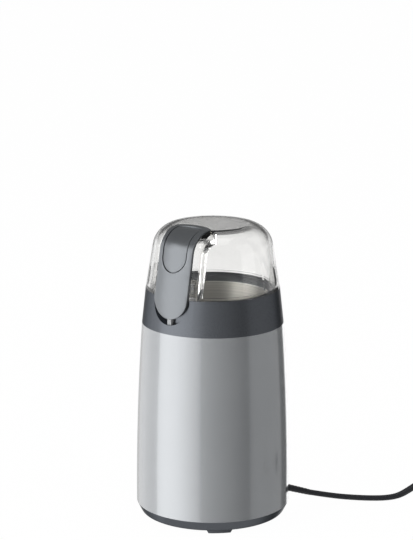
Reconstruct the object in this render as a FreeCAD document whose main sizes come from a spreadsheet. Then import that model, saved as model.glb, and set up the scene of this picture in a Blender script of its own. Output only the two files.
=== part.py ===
import FreeCAD, Part
import math
import os
import Sketcher
from FreeCAD import Placement, Rotation, Vector

doc = FreeCAD.newDocument("spice_grinder")
sheet = doc.addObject("Spreadsheet::Sheet", "Sizes")


class Length:
    """A number that remembers the cells of the sheet that it is worked out from."""

    def __init__(self, value, formula):
        self.value = float(value)
        self.formula = formula

    def __float__(self):
        return self.value

    def __add__(self, other):
        other = as_length(other)
        return Length(self.value + other.value, f"({self.formula} + {other.formula})")

    def __sub__(self, other):
        other = as_length(other)
        return Length(self.value - other.value, f"({self.formula} - {other.formula})")

    def __mul__(self, other):
        other = as_length(other)
        return Length(self.value * other.value, f"({self.formula} * {other.formula})")

    def __truediv__(self, other):
        other = as_length(other)
        return Length(self.value / other.value, f"({self.formula} / {other.formula})")

    def __neg__(self):
        return Length(-self.value, f"(0 - {self.formula})")

    def __radd__(self, other):
        return as_length(other) + self

    def __rsub__(self, other):
        return as_length(other) - self

    def __rmul__(self, other):
        return as_length(other) * self


def as_length(number):
    if isinstance(number, Length):
        return number
    return Length(number, f"({float(number):.6f})")


row = 0


def size(name, value):
    """Write one driving dimension in the sheet and give it back as a Length."""
    global row
    row += 1
    sheet.set(f"A{row}", name)
    sheet.set(f"B{row}", str(value))
    sheet.setAlias(f"B{row}", name)
    return Length(value, f"Sizes.{name}")


# Outer form, measured from the table
foot_height = size("foot_height", 3.2)
rim_height = size("rim_height", 6.8)
shell_height = size("shell_height", 120.4)
collar_height = size("collar_height", 23.0)
lid_height = size("lid_height", 41.6)
base_radius = size("base_radius", 50.0)
base_edge_inset = size("base_edge_inset", 3.5)
shell_taper = size("shell_taper", 4.13)
shell_belly = size("shell_belly", 1.07)
collar_taper = size("collar_taper", 2.52)
lid_side_slope = size("lid_side_slope", 0.161)
lid_shoulder = size("lid_shoulder", 15.9)

# Walls and clearances
shell_wall = size("shell_wall", 2.2)
collar_wall = size("collar_wall", 2.2)
lid_wall = size("lid_wall", 2.4)
base_thickness = size("base_thickness", 3.0)
seat_gap = size("seat_gap", 0.15)
loose_gap = size("loose_gap", 0.4)
bearing_gap = size("bearing_gap", 0.04)

# Grinding bowl, its seal and its carrier
bowl_inset = size("bowl_inset", 10.27)
bowl_sheet = size("bowl_sheet", 0.8)
bowl_sink = size("bowl_sink", 5.2)
bowl_rim_width = size("bowl_rim_width", 2.0)
bowl_depth = size("bowl_depth", 31.0)
bowl_corner = size("bowl_corner", 9.0)
bowl_boss_rise = size("bowl_boss_rise", 4.0)
bowl_boss_radius = size("bowl_boss_radius", 8.5)
seal_height = size("seal_height", 0.8)
skirt_drop = size("skirt_drop", 29.0)
carrier_thickness = size("carrier_thickness", 3.0)
carrier_height = size("carrier_height", 16.4)

# Press lever on the lid, its channel and the recess in the collar
lever_width = size("lever_width", 26.4)
lever_thickness = size("lever_thickness", 2.6)
lever_proud = size("lever_proud", 0.6)
lever_stop_gap = size("lever_stop_gap", 1.0)
lever_foot_inset = size("lever_foot_inset", 0.77)
lever_end = size("lever_end", 19.0)
lever_end_arch = size("lever_end_arch", 5.0)
lever_travel = size("lever_travel", 3.0)
channel_gap = size("channel_gap", 0.5)
channel_depth = size("channel_depth", 6.5)
pad_width = size("pad_width", 19.8)
pad_drop = size("pad_drop", 25.6)
pad_margin = size("pad_margin", 3.5)
pad_depth = size("pad_depth", 1.5)
pad_groove = size("pad_groove", 0.7)
pad_dish = size("pad_dish", 0.35)
recess_width = size("recess_width", 28.4)
recess_drop = size("recess_drop", 17.1)
recess_floor_wall = size("recess_floor_wall", 2.7)
guide_pin_radius = size("guide_pin_radius", 1.0)
guide_pin_rise = size("guide_pin_rise", 8.6)
guide_pin_inset = size("guide_pin_inset", 8.5)

# Plunger and micro switch
plunger_width = size("plunger_width", 3.0)
plunger_stem_radius = size("plunger_stem_radius", 1.1)
stem_gap = size("stem_gap", 2.2)
switch_long = size("switch_long", 20.0)
switch_wide = size("switch_wide", 6.4)
switch_tall = size("switch_tall", 10.0)
switch_drop = size("switch_drop", 18.4)
leaf_arm = size("leaf_arm", 9.0)
leaf_thickness = size("leaf_thickness", 0.4)
leaf_angle = size("leaf_angle", 14.0)

# Motor
shaft_radius = size("shaft_radius", 3.0)
core_height = size("core_height", 24.0)
core_drop = size("core_drop", 39.5)
rotor_radius = size("rotor_radius", 17.0)
air_gap = size("air_gap", 0.5)
stator_end = size("stator_end", 3.5)
stator_wide = size("stator_wide", 50.0)
winding_height = size("winding_height", 7.0)
commutator_radius = size("commutator_radius", 9.0)
commutator_height = size("commutator_height", 12.0)
commutator_rise = size("commutator_rise", 5.0)
fan_radius = size("fan_radius", 23.0)
fan_height = size("fan_height", 6.0)
fan_drop = size("fan_drop", 8.0)
bracket_thickness = size("bracket_thickness", 2.5)
mount_height = size("mount_height", 6.0)
lower_bracket_drop = size("lower_bracket_drop", 26.0)
bearing_radius = size("bearing_radius", 7.0)
bearing_height = size("bearing_height", 7.0)
mount_radius = size("mount_radius", 4.0)
bolt_radius = size("bolt_radius", 2.0)

# Blade
blade_gap = size("blade_gap", 5.8)
blade_width = size("blade_width", 11.0)
blade_sheet = size("blade_sheet", 1.5)
blade_tip = size("blade_tip", 11.0)
blade_tip_angle = size("blade_tip_angle", 28.0)
blade_rise = size("blade_rise", 2.0)

# Cord and plug
cord_width = size("cord_width", 5.2)
cord_thickness = size("cord_thickness", 3.0)
cord_azimuth = size("cord_azimuth", 140.0)
cord_exit_rise = size("cord_exit_rise", 4.0)
turn_pitch = size("turn_pitch", 5.7)
layer_pitch = size("layer_pitch", 3.6)
coil_radius = size("coil_radius", 35.6)
tie_thickness = size("tie_thickness", 0.7)
plug_long = size("plug_long", 35.0)
plug_wide = size("plug_wide", 35.3)
plug_thick = size("plug_thick", 13.7)
pin_radius = size("pin_radius", 2.0)
pin_length = size("pin_length", 19.0)
pin_spacing = size("pin_spacing", 18.6)
plug_relief_length = size("plug_relief_length", 19.0)

# Smaller sizes of the housing, the brush gear and the fasteners
lever_waist_drop = size("lever_waist_drop", 0.9)
lever_shoulder = size("lever_shoulder", 15.5)
lever_slope = size("lever_slope", 0.186)
boss_radius = size("boss_radius", 4.2)
boss_inset = size("boss_inset", 3.8)
screw_radius = size("screw_radius", 1.75)
relief_wide = size("relief_wide", 7.4)
relief_thick = size("relief_thick", 5.0)
groove_inset = size("groove_inset", 1.35)
groove_width = size("groove_width", 2.6)
groove_depth = size("groove_depth", 4.0)
spigot_wall = size("spigot_wall", 2.0)
foot_seat = size("foot_seat", 1.0)
foot_long = size("foot_long", 10.3)
foot_inset = size("foot_inset", 4.7)
foot_top_width = size("foot_top_width", 19.4)
foot_bottom_width = size("foot_bottom_width", 14.3)
saddle_inset = size("saddle_inset", 14.8)
saddle_wide = size("saddle_wide", 15.0)
flange_wide = size("flange_wide", 11.0)
clamp_screw_radius = size("clamp_screw_radius", 1.2)
carrier_hole = size("carrier_hole", 12.0)
mount_along = size("mount_along", 24.0)
mount_across = size("mount_across", 14.0)
mount_screw_radius = size("mount_screw_radius", 1.5)
bracket_end = size("bracket_end", 5.5)
bracket_half_wide = size("bracket_half_wide", 19.0)
window_long = size("window_long", 6.0)
bolt_overhang = size("bolt_overhang", 3.5)
bolt_head_height = size("bolt_head_height", 2.5)
boss_tall = size("boss_tall", 15.0)
boss_rise = size("boss_rise", 5.2)
boss_floor = size("boss_floor", 2.0)
screw_sink = size("screw_sink", 0.6)
screw_head_height = size("screw_head_height", 1.8)
screw_sink_depth = size("screw_sink_depth", 2.4)
carrier_rib_outer = size("carrier_rib_outer", 24.0)
carrier_rib_inner = size("carrier_rib_inner", 20.0)
window_half = size("window_half", 15.0)
coil_leg = size("coil_leg", 5.0)
brush_long = size("brush_long", 10.0)
brush_side = size("brush_side", 5.0)
holder_long = size("holder_long", 14.0)
slot_depth = size("slot_depth", 4.0)
slot_width = size("slot_width", 2.2)
winding_radius = size("winding_radius", 12.6)
fan_plate = size("fan_plate", 1.0)
fan_hub = size("fan_hub", 6.5)
nut_radius = size("nut_radius", 5.0)
nut_round = size("nut_round", 2.0)
air_slot_near = size("air_slot_near", 8.0)
air_slot_far = size("air_slot_far", 24.0)
air_slot_wide = size("air_slot_wide", 2.6)
base_edge_round = size("base_edge_round", 2.5)
plunger_wire = size("plunger_wire", 0.5)
lever_wire = size("lever_wire", 0.4)
ear_long = size("ear_long", 1.8)
pivot_radius = size("pivot_radius", 0.6)
button_side = size("button_side", 2.0)
leaf_wide = size("leaf_wide", 3.2)
tab_thickness = size("tab_thickness", 2.0)
flange_radius = size("flange_radius", 2.1)
rib_tall = size("rib_tall", 14.0)
rib_wide = size("rib_wide", 2.0)
tie_wide = size("tie_wide", 6.0)
bracket_leg = size("bracket_leg", 1.5)
inner_cord_end = size("inner_cord_end", 6.0)

doc.recompute()


def plane(body, role):
    """The origin plane or axis of a body with that role."""
    for feature in body.Origin.OriginFeatures:
        if feature.Role == role:
            return feature
    raise ValueError(role)


def outline(body, name, role, points, bulges=None, offset=None):
    """A closed sketch whose corners are tied to the sheet; bulges turn an edge into an arc."""
    bulges = bulges or {}
    sketch = body.newObject("Sketcher::SketchObject", name)
    sketch.AttachmentSupport = [(plane(body, role), "")]
    sketch.MapMode = "FlatFace"
    if offset is not None:
        sketch.setExpression("AttachmentOffset.Base.z", offset.formula)
    spots = [Vector(float(x), float(y), 0) for x, y in points]
    count = len(spots)
    for index in range(count):
        start = spots[index]
        finish = spots[(index + 1) % count]
        if index in bulges:
            chord = finish - start
            side = Vector(chord.y, -chord.x, 0).normalize()
            middle = (start + finish) * 0.5 + side * float(bulges[index])
            sketch.addGeometry(Part.Arc(start, middle, finish), False)
        else:
            sketch.addGeometry(Part.LineSegment(start, finish), False)
    tips = [ends(sketch, index, spots[index]) for index in range(count)]
    for index in range(count):
        following = (index + 1) % count
        sketch.addConstraint(
            Sketcher.Constraint("Coincident", index, tips[index][1], following, tips[following][0]))
    for index, (x, y) in enumerate(points):
        for kind, distance in (("DistanceX", as_length(x)), ("DistanceY", as_length(y))):
            number = sketch.addConstraint(
                Sketcher.Constraint(kind, -1, 1, index, tips[index][0], distance.value))
            sketch.setExpression(f"Constraints[{number}]", distance.formula)
    for index, bulge in bulges.items():
        x0, y0 = (as_length(v) for v in points[index])
        x1, y1 = (as_length(v) for v in points[(index + 1) % count])
        square = (x1 - x0) * (x1 - x0) + (y1 - y0) * (y1 - y0)
        depth = as_length(bulge)
        depth = depth if depth.value > 0 else -depth
        radius = (square / 4 + depth * depth) / (depth * 2)
        number = sketch.addConstraint(Sketcher.Constraint("Radius", index, radius.value))
        sketch.setExpression(f"Constraints[{number}]", radius.formula)
    return sketch


def ends(sketch, index, start):
    """Which end of an edge is its start: an arc may be stored the other way round."""
    edge = sketch.Geometry[index]
    first = edge.StartPoint
    return (1, 2) if (first - start).Length < 1e-6 else (2, 1)


def turned(label, points, bulges=None):
    """A body turned about Z from a closed outline of (radius, height) corners."""
    body = doc.addObject("PartDesign::Body", label)
    sketch = outline(body, f"{label}_profile", "XZ_Plane", points, bulges)
    turn = body.newObject("PartDesign::Revolution", f"{label}_turn")
    turn.Profile = sketch
    turn.ReferenceAxis = (plane(body, "Z_Axis"), [""])
    turn.Angle = 360.0
    body.Tip = turn
    return body


def padded(label, points, bottom, height, bulges=None, role="XY_Plane"):
    """A body raised from a closed outline; bottom is the outline's distance from its plane."""
    body = doc.addObject("PartDesign::Body", label)
    sketch = outline(body, f"{label}_outline", role, points, bulges, as_length(bottom))
    pad = body.newObject("PartDesign::Pad", f"{label}_pad")
    pad.Profile = sketch
    pad.setExpression("Length", as_length(height).formula)
    body.Tip = pad
    return body


def edges_at(shape, test):
    return [f"Edge{number + 1}" for number, edge in enumerate(shape.Edges) if test(edge)]


def rounded(body, radius, test, name="round"):
    """Round the edges of a body that pass the test."""
    doc.recompute()
    names = edges_at(body.Shape, test)
    if not names:
        raise ValueError(f"no edge to round on {body.Label}")
    solid = body.Tip
    fillet = body.newObject("PartDesign::Fillet", f"{body.Name}_{name}")
    fillet.Base = (solid, names)
    fillet.setExpression("Radius", as_length(radius).formula)
    body.Tip = fillet
    return body


def place(thing, x, y, z):
    for axis, value in zip("xyz", (x, y, z)):
        thing.setExpression(f"Placement.Base.{axis}", as_length(value).formula)


def box(name, x, y, z, long, wide, tall):
    """A block from its lowest corner and its three sides."""
    block = doc.addObject("Part::Box", name)
    block.setExpression("Length", as_length(long).formula)
    block.setExpression("Width", as_length(wide).formula)
    block.setExpression("Height", as_length(tall).formula)
    place(block, x, y, z)
    return block


def rod(name, radius, tall, x, y, z, turn=None):
    """A round bar standing at its lower end, or laid over by turn."""
    bar = doc.addObject("Part::Cylinder", name)
    bar.setExpression("Radius", as_length(radius).formula)
    bar.setExpression("Height", as_length(tall).formula)
    if turn is not None:
        bar.Placement = Placement(Vector(0, 0, 0), turn)
    place(bar, x, y, z)
    return bar


def ring(name, outer, inner, bottom, tall, x=0.0, y=0.0):
    return cut(name, rod(f"{name}_body", outer, tall, x, y, bottom),
               rod(f"{name}_bore", inner, tall, x, y, bottom))


def cut(name, base, *tools):
    """Take each tool away from the base, one after another."""
    result = base
    for number, tool in enumerate(tools):
        last = number == len(tools) - 1
        step = doc.addObject("Part::Cut", name if last else f"{name}_cut{number + 1}")
        step.Base = result
        step.Tool = tool
        result = step
    return result


def fuse(name, *shapes):
    whole = doc.addObject("Part::MultiFuse", name)
    whole.Shapes = list(shapes)
    return whole


def common(name, *shapes):
    shared = doc.addObject("Part::MultiCommon", name)
    shared.Shapes = list(shapes)
    return shared


def group(name, *shapes):
    """Separate solids that share one node."""
    several = doc.addObject("Part::Compound", name)
    several.Links = list(shapes)
    return several


def feature(name, shape):
    made = doc.addObject("Part::Feature", name)
    made.Shape = shape
    return made


def spot(radius, azimuth):
    """A point at an azimuth counted from the lever's side, at -Y, towards +X."""
    turn = math.radians(float(azimuth))
    return radius * math.sin(turn), radius * -math.cos(turn)


def radial_block(name, azimuth, near, across, low, long, wide, tall):
    """A block lying along an azimuth: near is its distance from the main axis."""
    turn = Rotation(Vector(0, 0, 1), float(azimuth) - 90)
    block = doc.addObject("Part::Box", name)
    block.setExpression("Length", as_length(long).formula)
    block.setExpression("Width", as_length(wide).formula)
    block.setExpression("Height", as_length(tall).formula)
    start = turn.multVec(Vector(float(near), float(across), 0))
    block.Placement = Placement(Vector(start.x, start.y, float(low)), turn)
    return block


nodes = []


def node(thing, name=None):
    """Count an object as one sub-part of the grinder."""
    thing.Label = name or thing.Label
    nodes.append(thing)
    return thing


# Heights that several pieces share, counted up from the table
seam_height = foot_height + rim_height
shell_top = seam_height + shell_height
collar_top = shell_top + collar_height
lid_top = collar_top + lid_height
bowl_rim_height = collar_top - bowl_sink
bowl_bottom = bowl_rim_height - bowl_depth
skirt_bottom = collar_top - skirt_drop
recess_bottom = collar_top - recess_drop
lever_foot_height = recess_bottom + lever_travel + lever_stop_gap
lever_waist_height = collar_top - lever_waist_drop
lever_top = lid_top + lever_proud
pad_bottom = lid_top - pad_drop
guide_pin_height = collar_top + guide_pin_rise
switch_top = skirt_bottom - switch_drop
carrier_bottom = skirt_bottom - carrier_height
upper_bracket_bottom = carrier_bottom - mount_height - bracket_thickness
fan_bottom = upper_bracket_bottom - fan_drop
core_bottom = upper_bracket_bottom - core_drop
lower_bracket_top = core_bottom - lower_bracket_drop
commutator_bottom = lower_bracket_top + commutator_rise
cord_exit_height = seam_height + cord_exit_rise

# Radii and lengths that several pieces share, counted in from the housing
shell_top_radius = base_radius - shell_taper
collar_top_radius = shell_top_radius - collar_taper
shell_inner_top = shell_top_radius - shell_wall
shell_inner_bottom = base_radius - shell_wall
bowl_radius = shell_top_radius - bowl_inset
well_radius = bowl_radius + 0.7
skirt_radius = well_radius + collar_wall
lip_radius = bowl_radius + bowl_rim_width + 0.3
groove_outer = collar_top_radius - groove_inset
groove_inner = groove_outer - groove_width
stem_offset = skirt_radius + stem_gap
recess_floor_radius = skirt_radius + recess_floor_wall
lid_foot_radius = collar_top_radius - 0.1
lid_side = math.hypot(1.0, float(lid_side_slope))
lever_foot_radius = shell_top_radius - lever_foot_inset
lever_waist_radius = lever_foot_radius - 0.2
lever_side = math.hypot(1.0, float(lever_slope))
foot_outer = base_radius - base_edge_inset - foot_inset
foot_inner = foot_outer - foot_long
saddle_near = shell_inner_bottom - saddle_inset
window_near = rotor_radius + air_gap
window_far = window_near + window_long
bolt_along = window_far + bolt_radius * 2
stator_long = (bolt_along + stator_end) * 2
bracket_half_long = bolt_along + bracket_end
blade_length = (bowl_radius - bowl_sheet - blade_gap) * 2
far = base_radius + 15
ledge_height = bowl_rim_height - bowl_sheet - seal_height
doc.recompute()


def on_edge(radius, height):
    """A test for the round edge about the main axis with that radius and height."""
    def test(edge):
        curve = edge.Curve
        if not isinstance(curve, Part.Circle):
            return False
        near = abs(curve.Center.z - float(height)) < 0.01
        return near and abs(curve.Radius - float(radius)) < 0.01
    return test


def lid_form(label, depth, floor):
    """The lid's outer form, drawn in by depth and closed at a floor height."""
    top = lid_top - depth

    def side(height):
        return lid_foot_radius - as_length(depth) * lid_side - lid_side_slope * (height - collar_top)

    body = turned(label, [(0, floor), (side(floor), floor), (side(top), top), (0, top)])
    return rounded(body, lid_shoulder - depth, on_edge(side(top), top))


def lever_form(label, depth, floor):
    """The lever's outer form as a full turned body, drawn in by depth."""
    top = lever_top - depth
    waist = lever_waist_radius - depth
    corner = waist - lever_slope * (top - lever_waist_height)
    body = turned(label, [(0, floor), (lever_foot_radius - depth, floor),
                          (waist, lever_waist_height), (corner, top), (0, top)])
    return rounded(body, lever_shoulder - depth, on_edge(corner, top))


def strip_plan(label, width, end, arch):
    """The strip's outline seen from above, with its rounded top end, as a tall prism."""
    half = as_length(width) / 2
    points = [(-half, -far), (half, -far), (half, -as_length(end)), (-half, -as_length(end))]
    return padded(label, points, lever_foot_height - 20, lid_top, {2: as_length(arch)})


def strip_front(label, width, foot):
    """The strip's outline seen from the front, with its half-round lower end."""
    half = as_length(width) / 2
    centre = foot + half
    straight = box(f"{label}_straight", -half, -far, centre, half * 2, far, lid_top + 10 - centre)
    end = rod(f"{label}_end", half, far, 0, 0, centre, Rotation(Vector(1, 0, 0), 90))
    return fuse(label, straight, end)


# Outer shell: one moulded tube, slightly barrel shaped, with four screw bosses inside
boss_ring = base_radius - shell_wall - boss_radius - boss_inset
boss_bottom = seam_height + boss_rise
boss_top = boss_bottom + boss_tall
shell_belly_outside = Part.Arc(
    Vector(float(base_radius), 0, float(seam_height)),
    Vector(float((base_radius + shell_top_radius) / 2 + shell_belly), 0, float((seam_height + shell_top) / 2)),
    Vector(float(shell_top_radius), 0, float(shell_top))).toShape()
shell_belly_inside = shell_belly_outside.translated(Vector(-float(shell_wall), 0, 0))
shell_section = Part.Wire(Part.__sortEdges__([
    shell_belly_outside, shell_belly_inside,
    Part.LineSegment(shell_belly_outside.Vertexes[0].Point, shell_belly_inside.Vertexes[0].Point).toShape(),
    Part.LineSegment(shell_belly_outside.Vertexes[1].Point, shell_belly_inside.Vertexes[1].Point).toShape()]))
shell_tube = feature("shell_tube", Part.Face(shell_section).revolve(Vector(0, 0, 0), Vector(0, 0, 1), 360))
boss_azimuths = [0, 90, 180, 270]
shell_bosses = []
shell_screw_holes = []
for azimuth in boss_azimuths:
    x, y = spot(boss_ring, azimuth)
    shell_bosses.append(rod(f"shell_boss_{azimuth}", boss_radius, boss_top - boss_bottom, x, y, boss_bottom))
    shell_bosses.append(radial_block(f"shell_web_{azimuth}", azimuth, boss_ring + boss_radius - 0.5, -1.5,
                                     boss_bottom, boss_inset + 1.3, 3.0, boss_top - boss_bottom))
    shell_screw_holes.append(rod(f"shell_screw_hole_{azimuth}", screw_radius, boss_tall - boss_floor,
                                 x, y, boss_bottom))
cord_turn = Rotation(Vector(0, 0, 1), float(cord_azimuth) - 90)


cord_hole = radial_block("cord_hole", cord_azimuth, shell_inner_bottom - 4, -(relief_wide / 2 + seat_gap),
                        cord_exit_height - relief_thick / 2 - 0.6, 10,
                        relief_wide + seat_gap * 2, relief_thick + 1.6)
node(cut("outer_shell", fuse("shell_with_bosses", shell_tube, *shell_bosses), *shell_screw_holes, cord_hole))

# Collar: the dark ring that closes the shell, carries the bowl and guides the lid
lip_top = collar_top - 0.8
spigot_radius = shell_inner_top - seat_gap
hollow_top = collar_top - 7
collar_ring = turned("collar_ring", [
    (shell_top_radius, shell_top), (collar_top_radius, collar_top), (groove_outer, collar_top),
    (groove_outer, collar_top - groove_depth), (groove_inner, collar_top - groove_depth),
    (groove_inner, lip_top), (lip_radius, lip_top), (lip_radius, ledge_height),
    (well_radius, ledge_height), (well_radius, skirt_bottom), (skirt_radius, skirt_bottom),
    (skirt_radius, hollow_top), (spigot_radius - spigot_wall, hollow_top),
    (spigot_radius - spigot_wall, skirt_bottom), (spigot_radius, skirt_bottom), (spigot_radius, shell_top)])
collar_cone = doc.addObject("Part::Cone", "collar_cone")
collar_cone.setExpression("Radius1", shell_top_radius.formula)
collar_cone.setExpression("Radius2", collar_top_radius.formula)
collar_cone.setExpression("Height", (collar_top - shell_top).formula)
place(collar_cone, 0, 0, shell_top)
recess_block_half = recess_width / 2 + 2.8
recess_block = box("recess_block", -recess_block_half, -far, shell_top + 0.6, recess_block_half * 2,
                   far - skirt_radius * 0.9, lip_top - shell_top - 0.6)
recess_backing = cut("recess_backing", common("recess_block_in_cone", recess_block, collar_cone),
                     rod("recess_block_bore", skirt_radius, collar_top, 0, 0, 0))
recess_tool = cut("recess_tool", strip_front("recess_front", recess_width, recess_bottom),
                  rod("recess_floor", recess_floor_radius, lid_top, 0, 0, 100))
head_near = recess_floor_radius + 0.4
head_far = head_near + 2.4
slot_half = plunger_width / 2 + loose_gap
plunger_slot = box("plunger_slot", -slot_half, -(head_far + 0.3), skirt_bottom - 1, slot_half * 2,
                   head_far + 0.3 - (stem_offset - plunger_stem_radius - loose_gap),
                   recess_bottom + 0.1 - skirt_bottom + 1)
node(cut("collar", fuse("collar_with_block", collar_ring, recess_backing), recess_tool, plunger_slot))

# Base plate: the floor of the housing, with air slots, foot pockets and screw posts
post_top = boss_bottom - 0.2
head_radius = screw_radius * 2
base_disc = turned("base_disc", [
    (0, foot_height), (base_radius - base_edge_inset, foot_height), (base_radius, seam_height),
    (shell_inner_bottom - seat_gap, seam_height), (shell_inner_bottom - seat_gap, post_top),
    (shell_inner_bottom - seat_gap - spigot_wall, post_top),
    (shell_inner_bottom - seat_gap - spigot_wall, foot_height + base_thickness),
    (0, foot_height + base_thickness)])
rounded(base_disc, base_edge_round, on_edge(base_radius - base_edge_inset, foot_height))
base_posts = []
base_bores = []
screws = []
for azimuth in boss_azimuths:
    x, y = spot(boss_ring, azimuth)
    base_posts.append(rod(f"base_post_{azimuth}", boss_radius, post_top - foot_height, x, y, foot_height))
    base_bores.append(rod(f"base_bore_{azimuth}", screw_radius, post_top, x, y, 0))
    base_bores.append(rod(f"base_sink_{azimuth}", head_radius + 0.3, screw_sink_depth, x, y, foot_height))
    screws.append(fuse(f"base_screw_{azimuth}",
                       rod(f"base_screw_head_{azimuth}", head_radius, screw_head_height, x, y,
                           foot_height + screw_sink),
                       rod(f"base_screw_stem_{azimuth}", screw_radius, boss_top - boss_floor - screw_sink_depth - foot_height - 0.6,
                           x, y, foot_height + screw_sink_depth - 0.4)))
node(group("base_screws", *screws))
foot_azimuths = [45, 135, 225, 315]
feet = []
foot_pockets = []
for azimuth in foot_azimuths:
    turn = Rotation(Vector(0, 0, 1), azimuth - 90)
    block = doc.addObject("Part::Wedge", f"foot_block_{azimuth}")
    tall = foot_height + foot_seat
    for name, value in (("Xmin", 0), ("Xmax", foot_outer - foot_inner + 2), ("Ymin", 0), ("Ymax", tall),
                        ("Zmin", -(foot_bottom_width / 2)), ("Zmax", foot_bottom_width / 2),
                        ("X2min", 0), ("X2max", foot_outer - foot_inner + 2),
                        ("Z2min", -(foot_top_width / 2)), ("Z2max", foot_top_width / 2)):
        block.setExpression(name, as_length(value).formula)
    upright = turn.multiply(Rotation(Vector(1, 0, 0), 90))
    start = turn.multVec(Vector(float(foot_inner), 0, 0))
    block.Placement = Placement(start, upright)
    feet.append(common(f"foot_{azimuth}", block, rod(f"foot_edge_{azimuth}", foot_outer, 20, 0, 0, 0)))
    foot_pockets.append(radial_block(f"foot_pocket_{azimuth}", azimuth, foot_inner, -(foot_top_width / 2 + 0.1),
                                     foot_height, foot_outer - foot_inner, foot_top_width + 0.2, foot_seat))
node(group("rubber_feet", *feet))
air_slots = []
for number in range(12):
    air_slots.append(radial_block(f"air_slot_{number}", number * 30, air_slot_near, -(air_slot_wide / 2),
                                  foot_height - 1, air_slot_far - air_slot_near, air_slot_wide, base_thickness + 2))
saddle = radial_block("cord_saddle", cord_azimuth, saddle_near, -(saddle_wide / 2), foot_height + 1, 5.0, saddle_wide,
                     cord_exit_height + 1.4 - cord_thickness / 2 - foot_height - 1)
base_notch = radial_block("base_notch", cord_azimuth, shell_inner_bottom - 4, -(flange_wide / 2 + 0.2),
                          cord_exit_height - 3.8, 6, flange_wide + 0.4, 10)
clamp_spots = [spot(math.hypot(float(saddle_near) + 2.5, 5.2), float(cord_azimuth) + side * math.degrees(
    math.atan2(5.2, float(saddle_near) + 2.5))) for side in (-1, 1)]
clamp_bores = [rod(f"clamp_bore_{number}", clamp_screw_radius, 20, x, y, foot_height + base_thickness + 2)
               for number, (x, y) in enumerate(clamp_spots)]
node(cut("base_plate", fuse("base_body", base_disc, saddle, *base_posts),
         fuse("base_openings", *base_bores, *foot_pockets, *air_slots, *clamp_bores, base_notch)))

# Bowl of drawn stainless sheet, with its seal and the carrier that holds it up
hub_hole = shaft_radius + 2.6
bowl = turned("grinding_bowl", [
    (hub_hole, bowl_bottom + bowl_boss_rise), (bowl_boss_radius - bowl_sheet, bowl_bottom + bowl_boss_rise),
    (bowl_boss_radius, bowl_bottom), (bowl_radius, bowl_bottom), (bowl_radius, bowl_rim_height - bowl_sheet),
    (bowl_radius + bowl_rim_width, bowl_rim_height - bowl_sheet),
    (bowl_radius + bowl_rim_width, bowl_rim_height), (bowl_radius - bowl_sheet, bowl_rim_height),
    (bowl_radius - bowl_sheet, bowl_bottom + bowl_sheet),
    (bowl_boss_radius + bowl_sheet * 0.6, bowl_bottom + bowl_sheet),
    (bowl_boss_radius - bowl_sheet * 0.4, bowl_bottom + bowl_boss_rise + bowl_sheet),
    (hub_hole, bowl_bottom + bowl_boss_rise + bowl_sheet)])
rounded(bowl, bowl_corner - bowl_sheet, on_edge(bowl_radius - bowl_sheet, bowl_bottom + bowl_sheet), "inside")
node(rounded(bowl, bowl_corner, on_edge(bowl_radius, bowl_bottom), "outside"))
node(ring("bowl_seal", bowl_radius + bowl_rim_width, well_radius - 0.2, ledge_height, seal_height))
carrier_top = carrier_bottom + carrier_thickness
carrier_disc = turned("carrier_disc", [
    (carrier_hole, carrier_bottom), (skirt_radius, carrier_bottom), (skirt_radius, skirt_bottom),
    (well_radius, skirt_bottom), (well_radius, carrier_top), (carrier_rib_outer, carrier_top),
    (carrier_rib_outer, bowl_bottom), (carrier_rib_inner, bowl_bottom), (carrier_rib_inner, carrier_top), (carrier_hole, carrier_top)])
mount_spots = [(mount_along, mount_across), (-mount_along, mount_across),
               (mount_along, -mount_across), (-mount_along, -mount_across)]
carrier_holes = [rod(f"carrier_hole_{n}", mount_screw_radius, carrier_thickness, x, y, carrier_bottom)
                 for n, (x, y) in enumerate(mount_spots)]
node(cut("bowl_carrier", carrier_disc, *carrier_holes))
seal_low = bowl_bottom + bowl_boss_rise
node(turned("shaft_seal", [
    (shaft_radius + bearing_gap, seal_low - 1.6), (hub_hole + 1.0, seal_low - 1.6), (hub_hole + 1.0, seal_low),
    (hub_hole - 0.05, seal_low), (hub_hole - 0.05, seal_low + bowl_sheet),
    (hub_hole + 1.6, seal_low + bowl_sheet), (hub_hole + 1.0, seal_low + bowl_sheet + 0.9),
    (shaft_radius + bearing_gap, seal_low + bowl_sheet + 0.9)]))

# Motor frame: two brackets with sleeve bearings, hung on rubber mounts under the carrier
housing_radius = bearing_radius + 2.5


def bracket(name, bottom, housing_bottom, with_mounts):
    plate = box(f"{name}_plate", -bracket_half_long, -bracket_half_wide, bottom,
                bracket_half_long * 2, bracket_half_wide * 2, bracket_thickness)
    housing = rod(f"{name}_housing", housing_radius, bearing_height, 0, 0, housing_bottom)
    tools = [rod(f"{name}_bore", bearing_radius, bearing_height + 20, 0, 0, housing_bottom - 10)]
    for number, x in enumerate((bolt_along, -bolt_along)):
        tools.append(rod(f"{name}_bolt_hole_{number}", bolt_radius, bracket_thickness + 2, x, 0, bottom - 1))
    if with_mounts:
        for number, (x, y) in enumerate(mount_spots):
            tools.append(rod(f"{name}_mount_hole_{number}", mount_screw_radius, bracket_thickness + 2,
                             x, y, bottom - 1))
    node(cut(name, fuse(f"{name}_body", plate, housing), *tools))


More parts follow.
